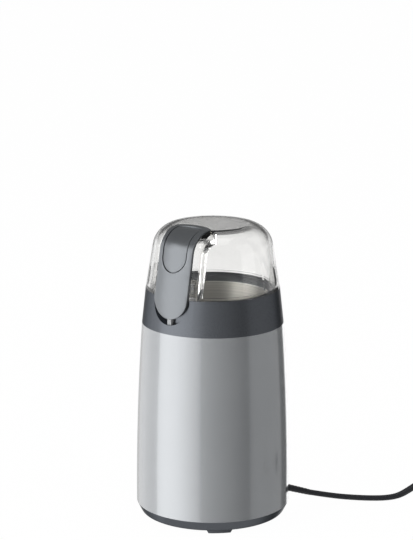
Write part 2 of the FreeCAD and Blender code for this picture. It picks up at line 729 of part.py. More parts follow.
bracket("motor_upper_bracket", upper_bracket_bottom, upper_bracket_bottom, True)
lower_bracket_bottom = lower_bracket_top - bracket_thickness
bracket("motor_lower_bracket", lower_bracket_bottom, lower_bracket_top - bearing_height, False)
node(ring("upper_bearing", bearing_radius, shaft_radius + bearing_gap, upper_bracket_bottom, bearing_height))
node(ring("lower_bearing", bearing_radius, shaft_radius + bearing_gap,
          lower_bracket_top - bearing_height, bearing_height))
node(group("motor_mounts", *[ring(f"motor_mount_{n}", mount_radius, mount_screw_radius,
                                  upper_bracket_bottom + bracket_thickness, mount_height, x, y)
                             for n, (x, y) in enumerate(mount_spots)]))
node(group("motor_screws", *[
    fuse(f"motor_screw_{n}",
         rod(f"motor_screw_head_{n}", mount_screw_radius * 2, 1.5, x, y, upper_bracket_bottom - 1.5),
         rod(f"motor_screw_stem_{n}", mount_screw_radius, carrier_top - upper_bracket_bottom + 1,
             x, y, upper_bracket_bottom - 1))
    for n, (x, y) in enumerate(mount_spots)]))
node(group("motor_bolts", *[
    fuse(f"motor_bolt_{n}",
         rod(f"motor_bolt_stem_{n}", bolt_radius,
             upper_bracket_bottom - lower_bracket_bottom + bolt_overhang * 2, x, 0, lower_bracket_bottom - bolt_overhang),
         rod(f"motor_bolt_head_{n}", bolt_radius * 1.75, bolt_head_height, x, 0,
             lower_bracket_bottom - bolt_head_height),
         rod(f"motor_bolt_nut_{n}", bolt_radius * 1.75, bolt_head_height, x, 0,
             upper_bracket_bottom + bracket_thickness))
    for n, x in enumerate((bolt_along, -bolt_along))]))

# Stator: laminated core with two windows, and the two field coils through them
core_top = core_bottom + core_height
stator_block = box("stator_block", -(stator_long / 2), -(stator_wide / 2), core_bottom,
                   stator_long, stator_wide, core_height)
stator_tools = [rod("stator_bore", window_near, core_height + 2, 0, 0, core_bottom - 1)]
for number, side in enumerate((1, -1)):
    near = window_near - 1 if side > 0 else -window_far
    stator_tools.append(box(f"stator_window_{number}", near, -window_half, core_bottom - 1,
                            window_far - window_near + 1, window_half * 2, core_height + 2))
    stator_tools.append(rod(f"stator_bolt_hole_{number}", bolt_radius, core_height + 2,
                            bolt_along * side, 0, core_bottom - 1))
node(cut("stator_core", stator_block, *stator_tools))
coil_near = window_near + 0.4
coils = []
for number, side in enumerate((1, -1)):
    pieces = []
    leg_low = core_bottom - winding_height
    leg_tall = core_height + winding_height * 2
    leg_y = as_length(1.5) if side > 0 else -(window_half - 0.3)
    for index, x in enumerate((coil_near, -coil_near - coil_leg)):
        pieces.append(box(f"coil_leg_{number}_{index}", x, leg_y, leg_low, coil_leg, window_half - 1.8, leg_tall))
    bar_y = (window_half - 1) if side > 0 else -(window_half + 5)
    for index, low in enumerate((core_top + 0.5, leg_low)):
        pieces.append(box(f"coil_bar_{number}_{index}", -coil_near - coil_leg, bar_y, low,
                          (coil_near + coil_leg) * 2, 6, winding_height - 0.5))
    coils.append(fuse(f"field_coil_{number}", *pieces))
node(group("field_coils", *coils))

# Brush gear on the lower bracket: two holders, carbon brushes and their springs
brush_high = commutator_bottom + commutator_height / 2
holder_side = brush_side + 3
for side, word in ((1, "left"), (-1, "right")):
    near = commutator_radius + 1.5
    start = near if side > 0 else -(near + holder_long)
    block = box(f"brush_block_{word}", start, -(holder_side / 2), lower_bracket_top,
                holder_long, holder_side, brush_high + holder_side / 2 - lower_bracket_top)
    channel = box(f"brush_channel_{word}", start - 1 if side > 0 else start + 1.5,
                  -(brush_side / 2 + 0.05), brush_high - brush_side / 2 - 0.05,
                  holder_long - 0.5, brush_side + 0.1, brush_side + 0.1)
    node(cut(f"brush_holder_{word}", block, channel))
    brush_near = commutator_radius + 0.1
    brush_start = brush_near if side > 0 else -(brush_near + brush_long)
    node(box(f"carbon_brush_{word}", brush_start, -(brush_side / 2), brush_high - brush_side / 2,
             brush_long, brush_side, brush_side))
    spring_long = near + holder_long - 1.5 - brush_near - brush_long
    turn = Rotation(Vector(0, 1, 0), 90)
    node(rod(f"brush_spring_{word}", brush_side / 2 - 0.6, spring_long,
             brush_near + brush_long if side > 0 else -(near + holder_long - 1.5), 0, brush_high, turn))

# Rotor: shaft, slotted core, windings, commutator, fan, blade and nut turn together
shaft_bottom = lower_bracket_top - bearing_height - 2
bowl_floor = bowl_bottom + bowl_boss_rise + bowl_sheet
blade_low = bowl_floor + 0.9 + blade_rise
node(turned("motor_shaft", [
    (0, shaft_bottom), (shaft_radius, shaft_bottom), (shaft_radius, bowl_floor + 1.2),
    (shaft_radius + 1.4, bowl_floor + 1.2), (shaft_radius + 1.4, blade_low), (shaft_radius - 0.5, blade_low),
    (shaft_radius - 0.5, blade_low + 5), (0, blade_low + 5)]))


def patterned(label, base, feature_kind, points, bottom, height, copies):
    """Repeat a pad or a pocket round the main axis of a turned body."""
    sketch = outline(base, f"{label}_tooth", "XY_Plane", points, None, as_length(bottom))
    doc.recompute()
    before = base.Shape.Volume
    step = base.newObject(feature_kind, f"{label}_step")
    step.Profile = sketch
    step.setExpression("Length", as_length(height).formula)
    step.Reversed = feature_kind == "PartDesign::Pocket"
    base.Tip = step
    pattern = base.newObject("PartDesign::PolarPattern", f"{label}_round")
    pattern.Originals = [step]
    pattern.Axis = (plane(base, "Z_Axis"), [""])
    pattern.Angle = 360.0
    pattern.Occurrences = copies
    base.Tip = pattern
    doc.recompute()
    if abs(base.Shape.Volume - before) < 1:
        raise ValueError(f"the pattern on {label} changes nothing")
    return base


rotor_core = turned("rotor_core", [(shaft_radius, core_bottom), (rotor_radius, core_bottom),
                                   (rotor_radius, core_top), (shaft_radius, core_top)])
node(patterned("rotor_core", rotor_core, "PartDesign::Pocket", [
    (rotor_radius - slot_depth, -(slot_width / 2)), (rotor_radius + 1, -(slot_width / 2)),
    (rotor_radius + 1, slot_width / 2), (rotor_radius - slot_depth, slot_width / 2)],
    core_bottom, core_height, 12))
windings = []
for number, low in enumerate((core_top, core_bottom - winding_height)):
    windings.append(ring(f"winding_{number}", winding_radius, shaft_radius + 2, low, winding_height - 0.5))
node(group("rotor_windings", *windings))
commutator = turned("commutator", [
    (shaft_radius, commutator_bottom), (commutator_radius, commutator_bottom),
    (commutator_radius, commutator_bottom + commutator_height),
    (shaft_radius, commutator_bottom + commutator_height)])
node(patterned("commutator", commutator, "PartDesign::Pocket", [
    (commutator_radius - 0.8, -0.25), (commutator_radius + 1, -0.25),
    (commutator_radius + 1, 0.25), (commutator_radius - 0.8, 0.25)],
    commutator_bottom, commutator_height, 24))
fan = turned("cooling_fan", [
    (shaft_radius, fan_bottom), (fan_radius, fan_bottom), (fan_radius, fan_bottom + fan_plate),
    (fan_hub, fan_bottom + fan_plate), (fan_hub, fan_bottom + fan_height), (shaft_radius, fan_bottom + fan_height)])
node(patterned("cooling_fan", fan, "PartDesign::Pad", [
    (fan_hub - 0.5, -0.5), (fan_radius - 0.3, -0.5), (fan_radius - 0.3, 0.5), (fan_hub - 0.5, 0.5)],
    fan_bottom + fan_plate - 0.2, fan_height - fan_plate, 9))
flat_half = blade_length / 2 - blade_tip
blade_flat = cut("blade_flat",
                 box("blade_bar", -flat_half, -(blade_width / 2), blade_low, flat_half * 2, blade_width, blade_sheet),
                 rod("blade_hole", shaft_radius - 0.5, blade_sheet + 2, 0, 0, blade_low - 1))
blade_tips = []
for side in (1, -1):
    tip = doc.addObject("Part::Box", f"blade_tip_{'a' if side > 0 else 'b'}")
    tip.setExpression("Length", (blade_tip + 0.3).formula)
    tip.setExpression("Width", blade_width.formula)
    tip.setExpression("Height", blade_sheet.formula)
    lift = Rotation(Vector(0, 1, 0), -float(blade_tip_angle) * 1.0)
    about = Rotation(Vector(0, 0, 1), 0 if side > 0 else 180)
    corner = Vector(float(flat_half) - 0.3, -float(blade_width) / 2, 0)
    start = about.multVec(corner)
    tip.Placement = Placement(Vector(start.x, start.y, float(blade_low)), about.multiply(lift))
    blade_tips.append(tip)
node(fuse("blade", blade_flat, *blade_tips))
nut_low = blade_low + blade_sheet
nut_top = nut_low + 5.5
nut = turned("blade_nut", [
    (shaft_radius - 0.45, nut_low), (nut_radius, nut_low), (nut_radius, nut_top), (0, nut_top),
    (0, blade_low + 5.1), (shaft_radius - 0.45, blade_low + 5.1)])
node(rounded(nut, nut_round, on_edge(nut_radius, nut_top)))


# Micro switch in its bracket, worked by a hinged leaf
pivot_along = leaf_arm
pivot_height = switch_top + 1.3
leaf_tan = math.tan(math.radians(float(leaf_angle)))
switch_across = stem_offset - 0.2
switch_front = -(switch_across + switch_wide / 2)
switch_block = box("switch_block", -(switch_long / 2), switch_front, switch_top - switch_tall,
                   switch_long, switch_wide, switch_tall)
lay_back = Rotation(Vector(1, 0, 0), 90)
ears = []
for number, y in enumerate((switch_front + 0.2, switch_front + switch_wide - 1.0)):
    ears.append(box(f"switch_ear_{number}", pivot_along - ear_long / 2, y, switch_top, ear_long, 0.8, 2.2))
pivot_hole = rod("pivot_hole", pivot_radius + bearing_gap, switch_wide, pivot_along, switch_front + switch_wide,
                 pivot_height, lay_back)
button_along = pivot_along - 4
button_well = box("button_well", button_along - button_side / 2 - 0.1, -(switch_across + button_side / 2 + 0.1),
                  switch_top - 3.2, button_side + 0.2, button_side + 0.2, 4)
node(cut("switch_body", fuse("switch_with_ears", switch_block, *ears), pivot_hole, button_well))
button_top = pivot_height + 3 * leaf_tan - leaf_thickness / 2 - 0.25
node(box("switch_button", button_along - button_side / 2, -(switch_across + button_side / 2), switch_top - 1.6,
         button_side, button_side, button_top - switch_top + 1.6))
blade_of_leaf = doc.addObject("Part::Box", "leaf_strip")
blade_of_leaf.setExpression("Length", (leaf_arm + 1.5).formula)
blade_of_leaf.setExpression("Width", leaf_wide.formula)
blade_of_leaf.setExpression("Height", leaf_thickness.formula)
tilt = Rotation(Vector(0, 1, 0), float(leaf_angle))
corner = tilt.multVec(Vector(-float(leaf_arm) - 1.5, -float(leaf_wide) / 2, -float(leaf_thickness) / 2))
blade_of_leaf.Placement = Placement(
    Vector(float(pivot_along), -float(switch_across), float(pivot_height)) + corner, tilt)
pin_long = switch_wide - 0.4
node(fuse("switch_leaf", blade_of_leaf,
          rod("leaf_pin", pivot_radius, pin_long, pivot_along, -(switch_across - pin_long / 2),
              pivot_height, lay_back)))

# Plunger: tip in the collar's recess, web, stem and flange, with its return spring
stem_bottom = pivot_height + leaf_arm * leaf_tan + leaf_thickness / 2 + 0.9
head_low = recess_bottom - 2.7
flange_low = skirt_bottom - 1.8
tab_top = flange_low - 5.6
node(fuse(
    "plunger",
    box("plunger_head", -(plunger_width / 2), -head_far, head_low, plunger_width, head_far - head_near,
        lever_foot_height - 0.3 - head_low),
    box("plunger_web", -(plunger_width / 2), -head_far, head_low, plunger_width,
        head_far - stem_offset + plunger_stem_radius, recess_bottom - 0.3 - head_low),
    rod("plunger_stem", plunger_stem_radius, head_low + 1 - stem_bottom, 0, -stem_offset, stem_bottom),
    rod("plunger_flange", flange_radius, 1.2, 0, -stem_offset, flange_low)))


def spring(name, wire, mean_radius, bottom, tall, turns, x, y):
    """A compression spring: one helix of wire, standing on Z."""
    rise = float(tall) - 2 * float(wire)
    helix = Part.makeHelix(rise / turns, rise, float(mean_radius))
    helix.translate(Vector(0, 0, float(bottom) + float(wire)))
    section = Part.Wire(Part.makeCircle(float(wire) / 2, helix.Edges[0].Vertexes[0].Point, Vector(0, 1, 0)))
    shape = Part.Wire(helix.Edges).makePipeShell([section], True, True)
    shape.translate(Vector(float(x), float(y), 0))
    print(f"{name}: least gap {rise / turns - float(wire):.2f} mm")
    return feature(name, shape)


node(spring("plunger_spring", plunger_wire, plunger_stem_radius + 0.8, tab_top, flange_low - tab_top,
            4, 0, -stem_offset))
bracket_half = switch_long / 2 + 1.7
bracket_front = -(stem_offset + 1.9)
bracket_back = -(skirt_radius + 0.2)
back_low = tab_top - tab_thickness - 3.5
node(cut("switch_bracket", fuse(
    "bracket_body",
    box("bracket_tab", -9.0, bracket_front - 0.8, tab_top - tab_thickness, 18.0,
        bracket_back - bracket_front + 0.8, tab_thickness),
    box("bracket_back", -bracket_half, bracket_back - 0.8, back_low, bracket_half * 2, 0.8,
        tab_top - back_low),
    box("bracket_leg_left", -bracket_half, bracket_front, switch_top - 8, bracket_leg,
        bracket_back - bracket_front, tab_top - switch_top + 8),
    box("bracket_leg_right", bracket_half - bracket_leg, bracket_front, switch_top - 8, bracket_leg,
        bracket_back - bracket_front, tab_top - switch_top + 8)),
    rod("bracket_stem_hole", plunger_stem_radius + 0.15, 10, 0, -stem_offset, tab_top - 6)))

# Clear lid with the deep channel that the lever runs in, its spigot and locating ribs
lid_form_outside = lid_form("lid_outside", 0.0, collar_top)
lid_form_inside = lid_form("lid_inside", lid_wall, collar_top - 2)
channel_floor = lid_form("channel_floor", channel_depth, collar_top - 30)
channel_back = lid_form("channel_back", channel_depth + lid_wall, collar_top - 30)
channel = cut("lid_channel", strip_plan("channel_plan", lever_width + channel_gap * 2,
                                        lever_end - channel_gap, lever_end_arch), channel_floor)
channel_shell = cut("channel_shell", strip_plan("channel_shell_plan", lever_width + channel_gap * 2 + lid_wall * 2,
                                                lever_end - channel_gap - lid_wall, lever_end_arch), channel_back)
lid_hollow = cut("lid_hollow", lid_form_inside, channel_shell)
spigot_top_radius = groove_outer - loose_gap
lid_spigot = cut(
    "lid_spigot",
    ring("lid_spigot_ring", spigot_top_radius, groove_inner + loose_gap, collar_top - groove_depth + 1,
         groove_depth + 0.6),
    box("lid_spigot_gap", -(recess_block_half + 0.6), -far, collar_top - 10,
        (recess_block_half + 0.6) * 2, far - 10, 20.0))
ribs = []
for number, azimuth in enumerate((113, 121, 129, 303, 311, 319)):
    ribs.append(radial_block(f"lid_rib_{number}", azimuth, lid_foot_radius - lid_wall * 2 - 1.4, -(rib_wide / 2),
                             collar_top + 0.6, lid_wall + 0.9, rib_wide, rib_tall))
pin_across = lever_waist_radius - guide_pin_inset
slot_reach = lever_width / 2 + channel_gap + lid_wall * 0.7
guide_slot = box("guide_slot", -slot_reach, -(pin_across + guide_pin_radius + loose_gap),
                 guide_pin_height - lever_travel - guide_pin_radius - loose_gap, slot_reach * 2,
                 (guide_pin_radius + loose_gap) * 2, lever_travel + (guide_pin_radius + loose_gap) * 2)
guide_slots = cut("guide_slots", guide_slot, box("guide_slot_middle", -(lever_width / 2), -far, 100, lever_width,
                                                 far, 100))
node(cut("lid_dome", fuse("lid_body", cut("lid_shell", lid_form_outside, channel, lid_hollow), lid_spigot, *ribs),
         guide_slots))

# Press lever: a curved strip with its tongue in the recess, and a soft pad let into its face
lever_outside = lever_form("lever_outside", 0.0, lever_foot_height - 2)
lever_inside = lever_form("lever_inside", lever_thickness, lever_foot_height - 3)
lever_strip = common("lever_strip", cut("lever_band", lever_outside, lever_inside),
                     strip_plan("lever_plan", lever_width, lever_end, lever_end_arch),
                     strip_front("lever_front", lever_width, lever_foot_height))
pad_pocket = common("pad_pocket", cut("pad_band", lever_form("pad_over", -1.0, lever_foot_height - 2),
                                      lever_form("pad_under", pad_depth, lever_foot_height - 3)),
                    strip_plan("pocket_plan", pad_width, lever_end + pad_margin, lever_end_arch * 0.7),
                    strip_front("pocket_front", pad_width, pad_bottom))
guide_ribs = []
guide_bores = []
guide_pins = []
lay_along = Rotation(Vector(0, 1, 0), 90)
rib_inner = lever_width / 2 - 3.7
for number, side in enumerate((1, -1)):
    start = rib_inner if side > 0 else -(lever_width / 2)
    guide_ribs.append(box(f"guide_rib_{number}", start, -(pin_across + 4.2), guide_pin_height - 2.2,
                          lever_width / 2 - rib_inner, 5.5, 4.4))
    bore_start = rib_inner + 1 if side > 0 else -(lever_width / 2 + 1)
    guide_bores.append(rod(f"guide_bore_{number}", guide_pin_radius, lever_width / 2 - rib_inner, bore_start,
                           -pin_across, guide_pin_height, lay_along))
    pin_start = rib_inner + 1 if side > 0 else -(slot_reach - 0.4)
    guide_pins.append(rod(f"guide_pin_{number}", guide_pin_radius, slot_reach - 0.4 - rib_inner - 1,
                          pin_start, -pin_across, guide_pin_height, lay_along))
node(cut("press_lever", fuse("lever_body", lever_strip, *guide_ribs), pad_pocket, *guide_bores))
node(group("guide_pins", *guide_pins))
node(common("thumb_pad", cut("pad_skin", lever_form("pad_face", pad_dish, lever_foot_height - 2),
                             lever_form("pad_floor", pad_depth, lever_foot_height - 3)),
            strip_plan("pad_plan", pad_width - pad_groove * 2, lever_end + pad_margin + pad_groove,
                       lever_end_arch * 0.7),
            strip_front("pad_front", pad_width - pad_groove * 2, pad_bottom + pad_groove)))
lever_spring_floor = lid_top - channel_depth
node(spring("lever_spring", lever_wire, 2.4, lever_spring_floor,
            lever_top - lever_thickness - lever_spring_floor, 2, 0, -(lever_end + 1)))

# Cord: strain relief, inner end, clamp, free stretch, put-away coil, tie, tail and plug
cord_cos = math.cos(math.radians(float(cord_azimuth) - 90))
cord_sin = math.sin(math.radians(float(cord_azimuth) - 90))


def along_cord(distance, across, height):
    """A point by its distance from the main axis along the cord's azimuth."""
    return Vector(distance * cord_cos - across * cord_sin, distance * cord_sin + across * cord_cos, height)


def flat_section(centre, direction, wide, thick):
    """The flat cord's outline, two half rounds joined by two straight sides, square to direction."""
    along = Vector(direction).normalize()
    side = Vector(0, 0, 1).cross(along).normalize()
    up = along.cross(side)
    reach = (wide - thick) / 2

    def at(x, y):
        return centre + side * x + up * y
    return Part.Wire([
        Part.LineSegment(at(-reach, -thick / 2), at(reach, -thick / 2)).toShape(),
        Part.Arc(at(reach, -thick / 2), at(wide / 2, 0), at(reach, thick / 2)).toShape(),
        Part.LineSegment(at(reach, thick / 2), at(-reach, thick / 2)).toShape(),
        Part.Arc(at(-reach, thick / 2), at(-wide / 2, 0), at(-reach, -thick / 2)).toShape()])


def flat_tube(name, path, start, direction):
    """A flat cord along a path of runs and arcs; its volume is set against section times length."""
    section = flat_section(start, direction, float(cord_width), float(cord_thickness))
    shape = path.makePipeShell([section], True, False)
    expected = Part.Face(section).Area * path.Length
    print(f"{name}: {path.Length:.1f} mm long, volume {shape.Volume / expected:.4f} of section times length,"
          f" from {shape.BoundBox.ZMin:.2f} to {shape.BoundBox.ZMax:.2f} mm high")
    return feature(name, shape)


def route_wire(points):
    """Straight runs joined by tangent arcs as large as the runs allow."""
    edges = []
    start = points[0]
    radii = []
    for before, corner, after in zip(points, points[1:], points[2:]):
        arriving = (corner - before).normalize()
        leaving = (after - corner).normalize()
        turn = arriving.getAngle(leaving)
        reach = 0.45 * min((corner - before).Length, (after - corner).Length)
        radius = reach / math.tan(turn / 2)
        radii.append(radius)
        entry = corner - arriving * reach
        leave = corner + leaving * reach
        inward = (leaving - arriving).normalize()
        middle = corner + inward * (radius / math.cos(turn / 2) - radius)
        edges.append(Part.LineSegment(start, entry).toShape())
        edges.append(Part.Arc(entry, middle, leave).toShape())
        start = leave
    edges.append(Part.LineSegment(start, points[-1]).toShape())
    print("arc radii in mm:", " ".join(f"{radius:.0f}" for radius in radii))
    return Part.Wire(edges)


shell_side = float(base_radius)
exit_height = float(cord_exit_height)
relief_start = along_cord(shell_side - 4.5, 0, exit_height + 1.2)
relief_end = along_cord(shell_side + 16, 0, exit_height - 4.8)
relief_axis = relief_end - relief_start
relief_loft = Part.makeLoft([
    flat_section(relief_start, relief_axis, float(relief_wide), float(relief_thick)),
    flat_section(relief_start + relief_axis * 0.3, relief_axis, float(relief_wide), float(relief_thick)),
    flat_section(relief_end, relief_axis, float(cord_width) + 0.7, float(cord_thickness) + 0.7)], True, True)
flange_block = Part.makeBox(2, float(flange_wide), 8.5)
flange_block.Placement = Placement(
    along_cord(float(shell_inner_bottom) - 3.2, -float(flange_wide) / 2, exit_height - 3.6), cord_turn)
node(feature("cord_strain_relief", relief_loft.fuse(flange_block).removeSplitter()))
inner_height = cord_exit_height + 1.4
node(radial_block("inner_cord", cord_azimuth, saddle_near - inner_cord_end, -(cord_width / 2),
                  inner_height - cord_thickness / 2, saddle_inset + inner_cord_end - 3.2, cord_width,
                  cord_thickness))
clamp_plate = radial_block("clamp_plate", cord_azimuth, saddle_near, -(saddle_wide / 2),
                           inner_height + cord_thickness / 2, 5.0, saddle_wide, 2.0)
node(cut("cord_clamp", clamp_plate, *clamp_bores))
clamp_screws = []
for number, (x, y) in enumerate(clamp_spots):
    clamp_screws.append(fuse(f"clamp_screw_{number}",
                             rod(f"clamp_screw_stem_{number}", clamp_screw_radius, cord_thickness + 6, x, y,
                                 inner_height - cord_thickness / 2 - 4),
                             rod(f"clamp_screw_head_{number}", clamp_screw_radius + 1, 1.4, x, y,
                                 inner_height + cord_thickness / 2 + 2)))
node(group("clamp_screws", *clamp_screws))

flat_height = float(cord_thickness) / 2
coil_low = float(tie_thickness) + 0.3 + flat_height
coil_high = coil_low + float(layer_pitch)
coil_start = Vector(76.0, 146.0, coil_low)
route = [relief_end,
         along_cord(82, 0, 5.6),
         along_cord(98, 0, 3.3),
         along_cord(110, 0, 2.1),
         along_cord(120, 0, flat_height + 0.25),
         Vector(80.2, 101.0, flat_height + 0.12),
         Vector(78.9, 115.0, flat_height + 0.12),
         Vector(76.6, 130.5, flat_height + 0.3),
         coil_start]
node(flat_tube("mains_cord", route_wire(route), relief_end, route[1] - route[0]))


def half_turn(start, finish, side):
    """A level half circle between two points of a coil; side is 1 behind and -1 in front."""
    middle = (start + finish) * 0.5
    reach = (finish - start).Length / 2
    return Part.Arc(start, middle + Vector(0, side * reach, 0), finish).toShape()


def climbing_turn(start, finish):
    """Two quarter turns that also climb from one layer to the next."""
    middle = (start + finish) * 0.5
    reach = (finish - start).Length / 2
    top = middle + Vector(0, reach, 0)
    bend = math.sqrt(0.5)
    first = middle + (start - middle) * bend + Vector(0, reach * bend, 0)
    second = middle + (finish - middle) * bend + Vector(0, reach * bend, 0)
    return [Part.Arc(start, first, top).toShape(), Part.Arc(top, second, finish).toShape()]


pitch = float(turn_pitch)
outer = float(coil_radius)
centre_x = coil_start.x + outer
west = [outer, outer - pitch, outer - 2 * pitch]
east = [outer - pitch / 2, outer - 1.5 * pitch, outer - 2.5 * pitch]
crossings = [(-west[0], coil_low), (east[0], coil_low), (-west[1], coil_low), (east[1], coil_low),
             (-west[2], coil_low), (east[2], coil_high), (-west[1], coil_high), (east[1], coil_high),
             (-west[0], coil_high), (east[0], coil_high)]
stations = [Vector(centre_x + x, coil_start.y, z) for x, z in crossings]
turns = []
for number, (here, there) in enumerate(zip(stations, stations[1:])):
    if here.z != there.z:
        turns += climbing_turn(here, there)
    else:
        turns.append(half_turn(here, there, 1 if number % 2 == 0 else -1))
lead_out = stations[-1] + Vector(0, -float(cord_width), 0)
turns.append(Part.LineSegment(stations[-1], lead_out).toShape())
coil_path = Part.Wire(turns)
print(f"cord_coil: gap between turns {pitch - float(cord_width):.2f} mm,"
      f" between layers {float(layer_pitch) - float(cord_thickness):.2f} mm")
node(flat_tube("cord_coil", coil_path, coil_start, Vector(0, 1, 0)))
plug_height = float(plug_thick) / 2
tail_end = lead_out + Vector(0, -16, plug_height - coil_high)
tail = [lead_out, lead_out + Vector(0, -5.4, 0.1), lead_out + Vector(0, -10.8, plug_height - coil_high - 0.1),
        tail_end]
node(flat_tube("cord_tail", route_wire(tail), lead_out, Vector(0, -1, 0)))
tie_front = coil_start.y - (outer - pitch / 2) - float(cord_width) / 2 - 1.2
tie_back = coil_start.y - (outer - 2.5 * pitch) + float(cord_width) / 2 - 1.6
tie_top = coil_high + flat_height + 0.45
tie_x = centre_x - tie_wide / 2 - 1.5
node(cut("cord_tie",
         box("tie_outside", tie_x, tie_front - tie_thickness, 0.0, tie_wide,
             tie_back - tie_front + tie_thickness * 2, tie_top + tie_thickness),
         box("tie_inside", tie_x - 1, tie_front, tie_thickness, tie_wide + 2, tie_back - tie_front,
             tie_top - tie_thickness)))

# Plug: flat moulded body with a tapered neck, and two round pins
plug_x = tail_end.x
neck_end = tail_end.y - float(plug_relief_length)
plug_face = neck_end - float(plug_long)
neck = Part.makeLoft([
    flat_section(tail_end, Vector(0, -1, 0), float(cord_width) + 0.8, float(cord_thickness) + 0.8),
    flat_section(Vector(plug_x, neck_end + 3, plug_height), Vector(0, -1, 0), 11.0, 7.5),
    flat_section(Vector(plug_x, neck_end, plug_height), Vector(0, -1, 0), 16.0, 9.5)], True, True)
half_wide = float(plug_wide) / 2
half_thick = plug_height
section_spots = [(neck_end, 8.5, 5.2), (neck_end - 12, half_wide, half_thick), (plug_face, half_wide, half_thick)]
body_loft = Part.makeLoft([
    flat_section(Vector(plug_x, y, plug_height), Vector(0, -1, 0), 2 * wide, 2 * thick)
    for y, wide, thick in section_spots], True, True)
node(feature("plug_body", body_loft.fuse(neck).removeSplitter()))
pins = []
for side in (-1, 1):
    pins.append(rod(f"plug_pin_{'a' if side < 0 else 'b'}", pin_radius, pin_length,
                    plug_x + side * pin_spacing / 2, plug_face, plug_height, lay_back))
node(group("plug_pins", *pins))

# Suppression capacitor on the base plate
node(box("suppression_capacitor", -9.0, 12.0, foot_height + base_thickness, 18.0, 8.0, 13.0))

# Check and write
doc.recompute()
for thing in doc.Objects:
    if "Invalid" in thing.State or "Error" in thing.State:
        raise ValueError(f"{thing.Name} is not sound: {thing.State}")
os.makedirs("parts", exist_ok=True)
for thing in nodes:
    shape = thing.Shape
    if shape.isNull() or not shape.isValid():
        raise ValueError(f"{thing.Label} has no valid shape")
    shape.exportStep(f"parts/{thing.Label}.step")
    print(f"{thing.Label}: {len(shape.Solids)} solids, {shape.Volume / 1000:.2f} cm3")
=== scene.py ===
import bpy
import math
from mathutils import Matrix, Vector


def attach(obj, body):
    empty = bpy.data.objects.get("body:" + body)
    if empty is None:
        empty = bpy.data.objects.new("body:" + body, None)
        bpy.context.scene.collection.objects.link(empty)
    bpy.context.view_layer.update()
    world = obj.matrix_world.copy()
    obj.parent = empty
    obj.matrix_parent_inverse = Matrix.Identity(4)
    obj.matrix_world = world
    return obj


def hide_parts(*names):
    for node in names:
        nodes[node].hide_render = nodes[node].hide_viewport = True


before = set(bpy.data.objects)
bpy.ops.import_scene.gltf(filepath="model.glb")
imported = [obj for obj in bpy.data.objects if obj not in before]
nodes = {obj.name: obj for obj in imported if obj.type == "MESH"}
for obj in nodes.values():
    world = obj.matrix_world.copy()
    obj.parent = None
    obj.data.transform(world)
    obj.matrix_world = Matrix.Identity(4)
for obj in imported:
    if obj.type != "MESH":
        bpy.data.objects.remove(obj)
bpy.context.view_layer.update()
bpy.ops.object.select_all(action="DESELECT")
scene = bpy.context.scene
scene.view_settings.view_transform = "Standard"

# Camera: a long lens, a little above the lid and right of the lever, looking down at the housing. The
# grinder stands low in the picture, as it does in the photograph.
view_azimuth = math.radians(38.8)
view_distance = 1.3228
view_height = 0.46658
look_down = math.radians(12.88)
aim_shift = 0.0031
camera_data = bpy.data.cameras.new("camera")
camera_data.lens = 140.29
camera_data.sensor_width = 36.0
camera = bpy.data.objects.new("camera", camera_data)
bpy.context.collection.objects.link(camera)
camera.location = (view_distance * math.sin(view_azimuth), -view_distance * math.cos(view_azimuth),
                   view_height)
camera.rotation_euler = (math.radians(90) - look_down, 0, view_azimuth + aim_shift)
scene.camera = camera


# Mains cord: flat two-core lead, dark grey and smooth, about 0.95 m long. It comes out of its strain
# relief at the back, drops to the table and lies in a neat tied coil beyond the view's right edge.
def new_material(name):
    """A material, its node tree and its Principled shader."""
    made = bpy.data.materials.new(name)
    made.use_nodes = True
    tree = made.node_tree
    return made, tree, tree.nodes["Principled BSDF"]


def add_node(tree, kind, **values):
    """A shader node with the given sockets set; an underscore in a name stands for a space."""
    node = tree.nodes.new(kind)
    for name, value in values.items():
        if name in node.inputs.keys() or name.replace("_", " ") in node.inputs.keys():
            node.inputs[name.replace("_", " ")].default_value = value
        else:
            setattr(node, name, value)
    return node


def join(tree, *pairs):
    """Link each pair of an output and an input."""
    for start, end in pairs:
        tree.links.new(start, end)


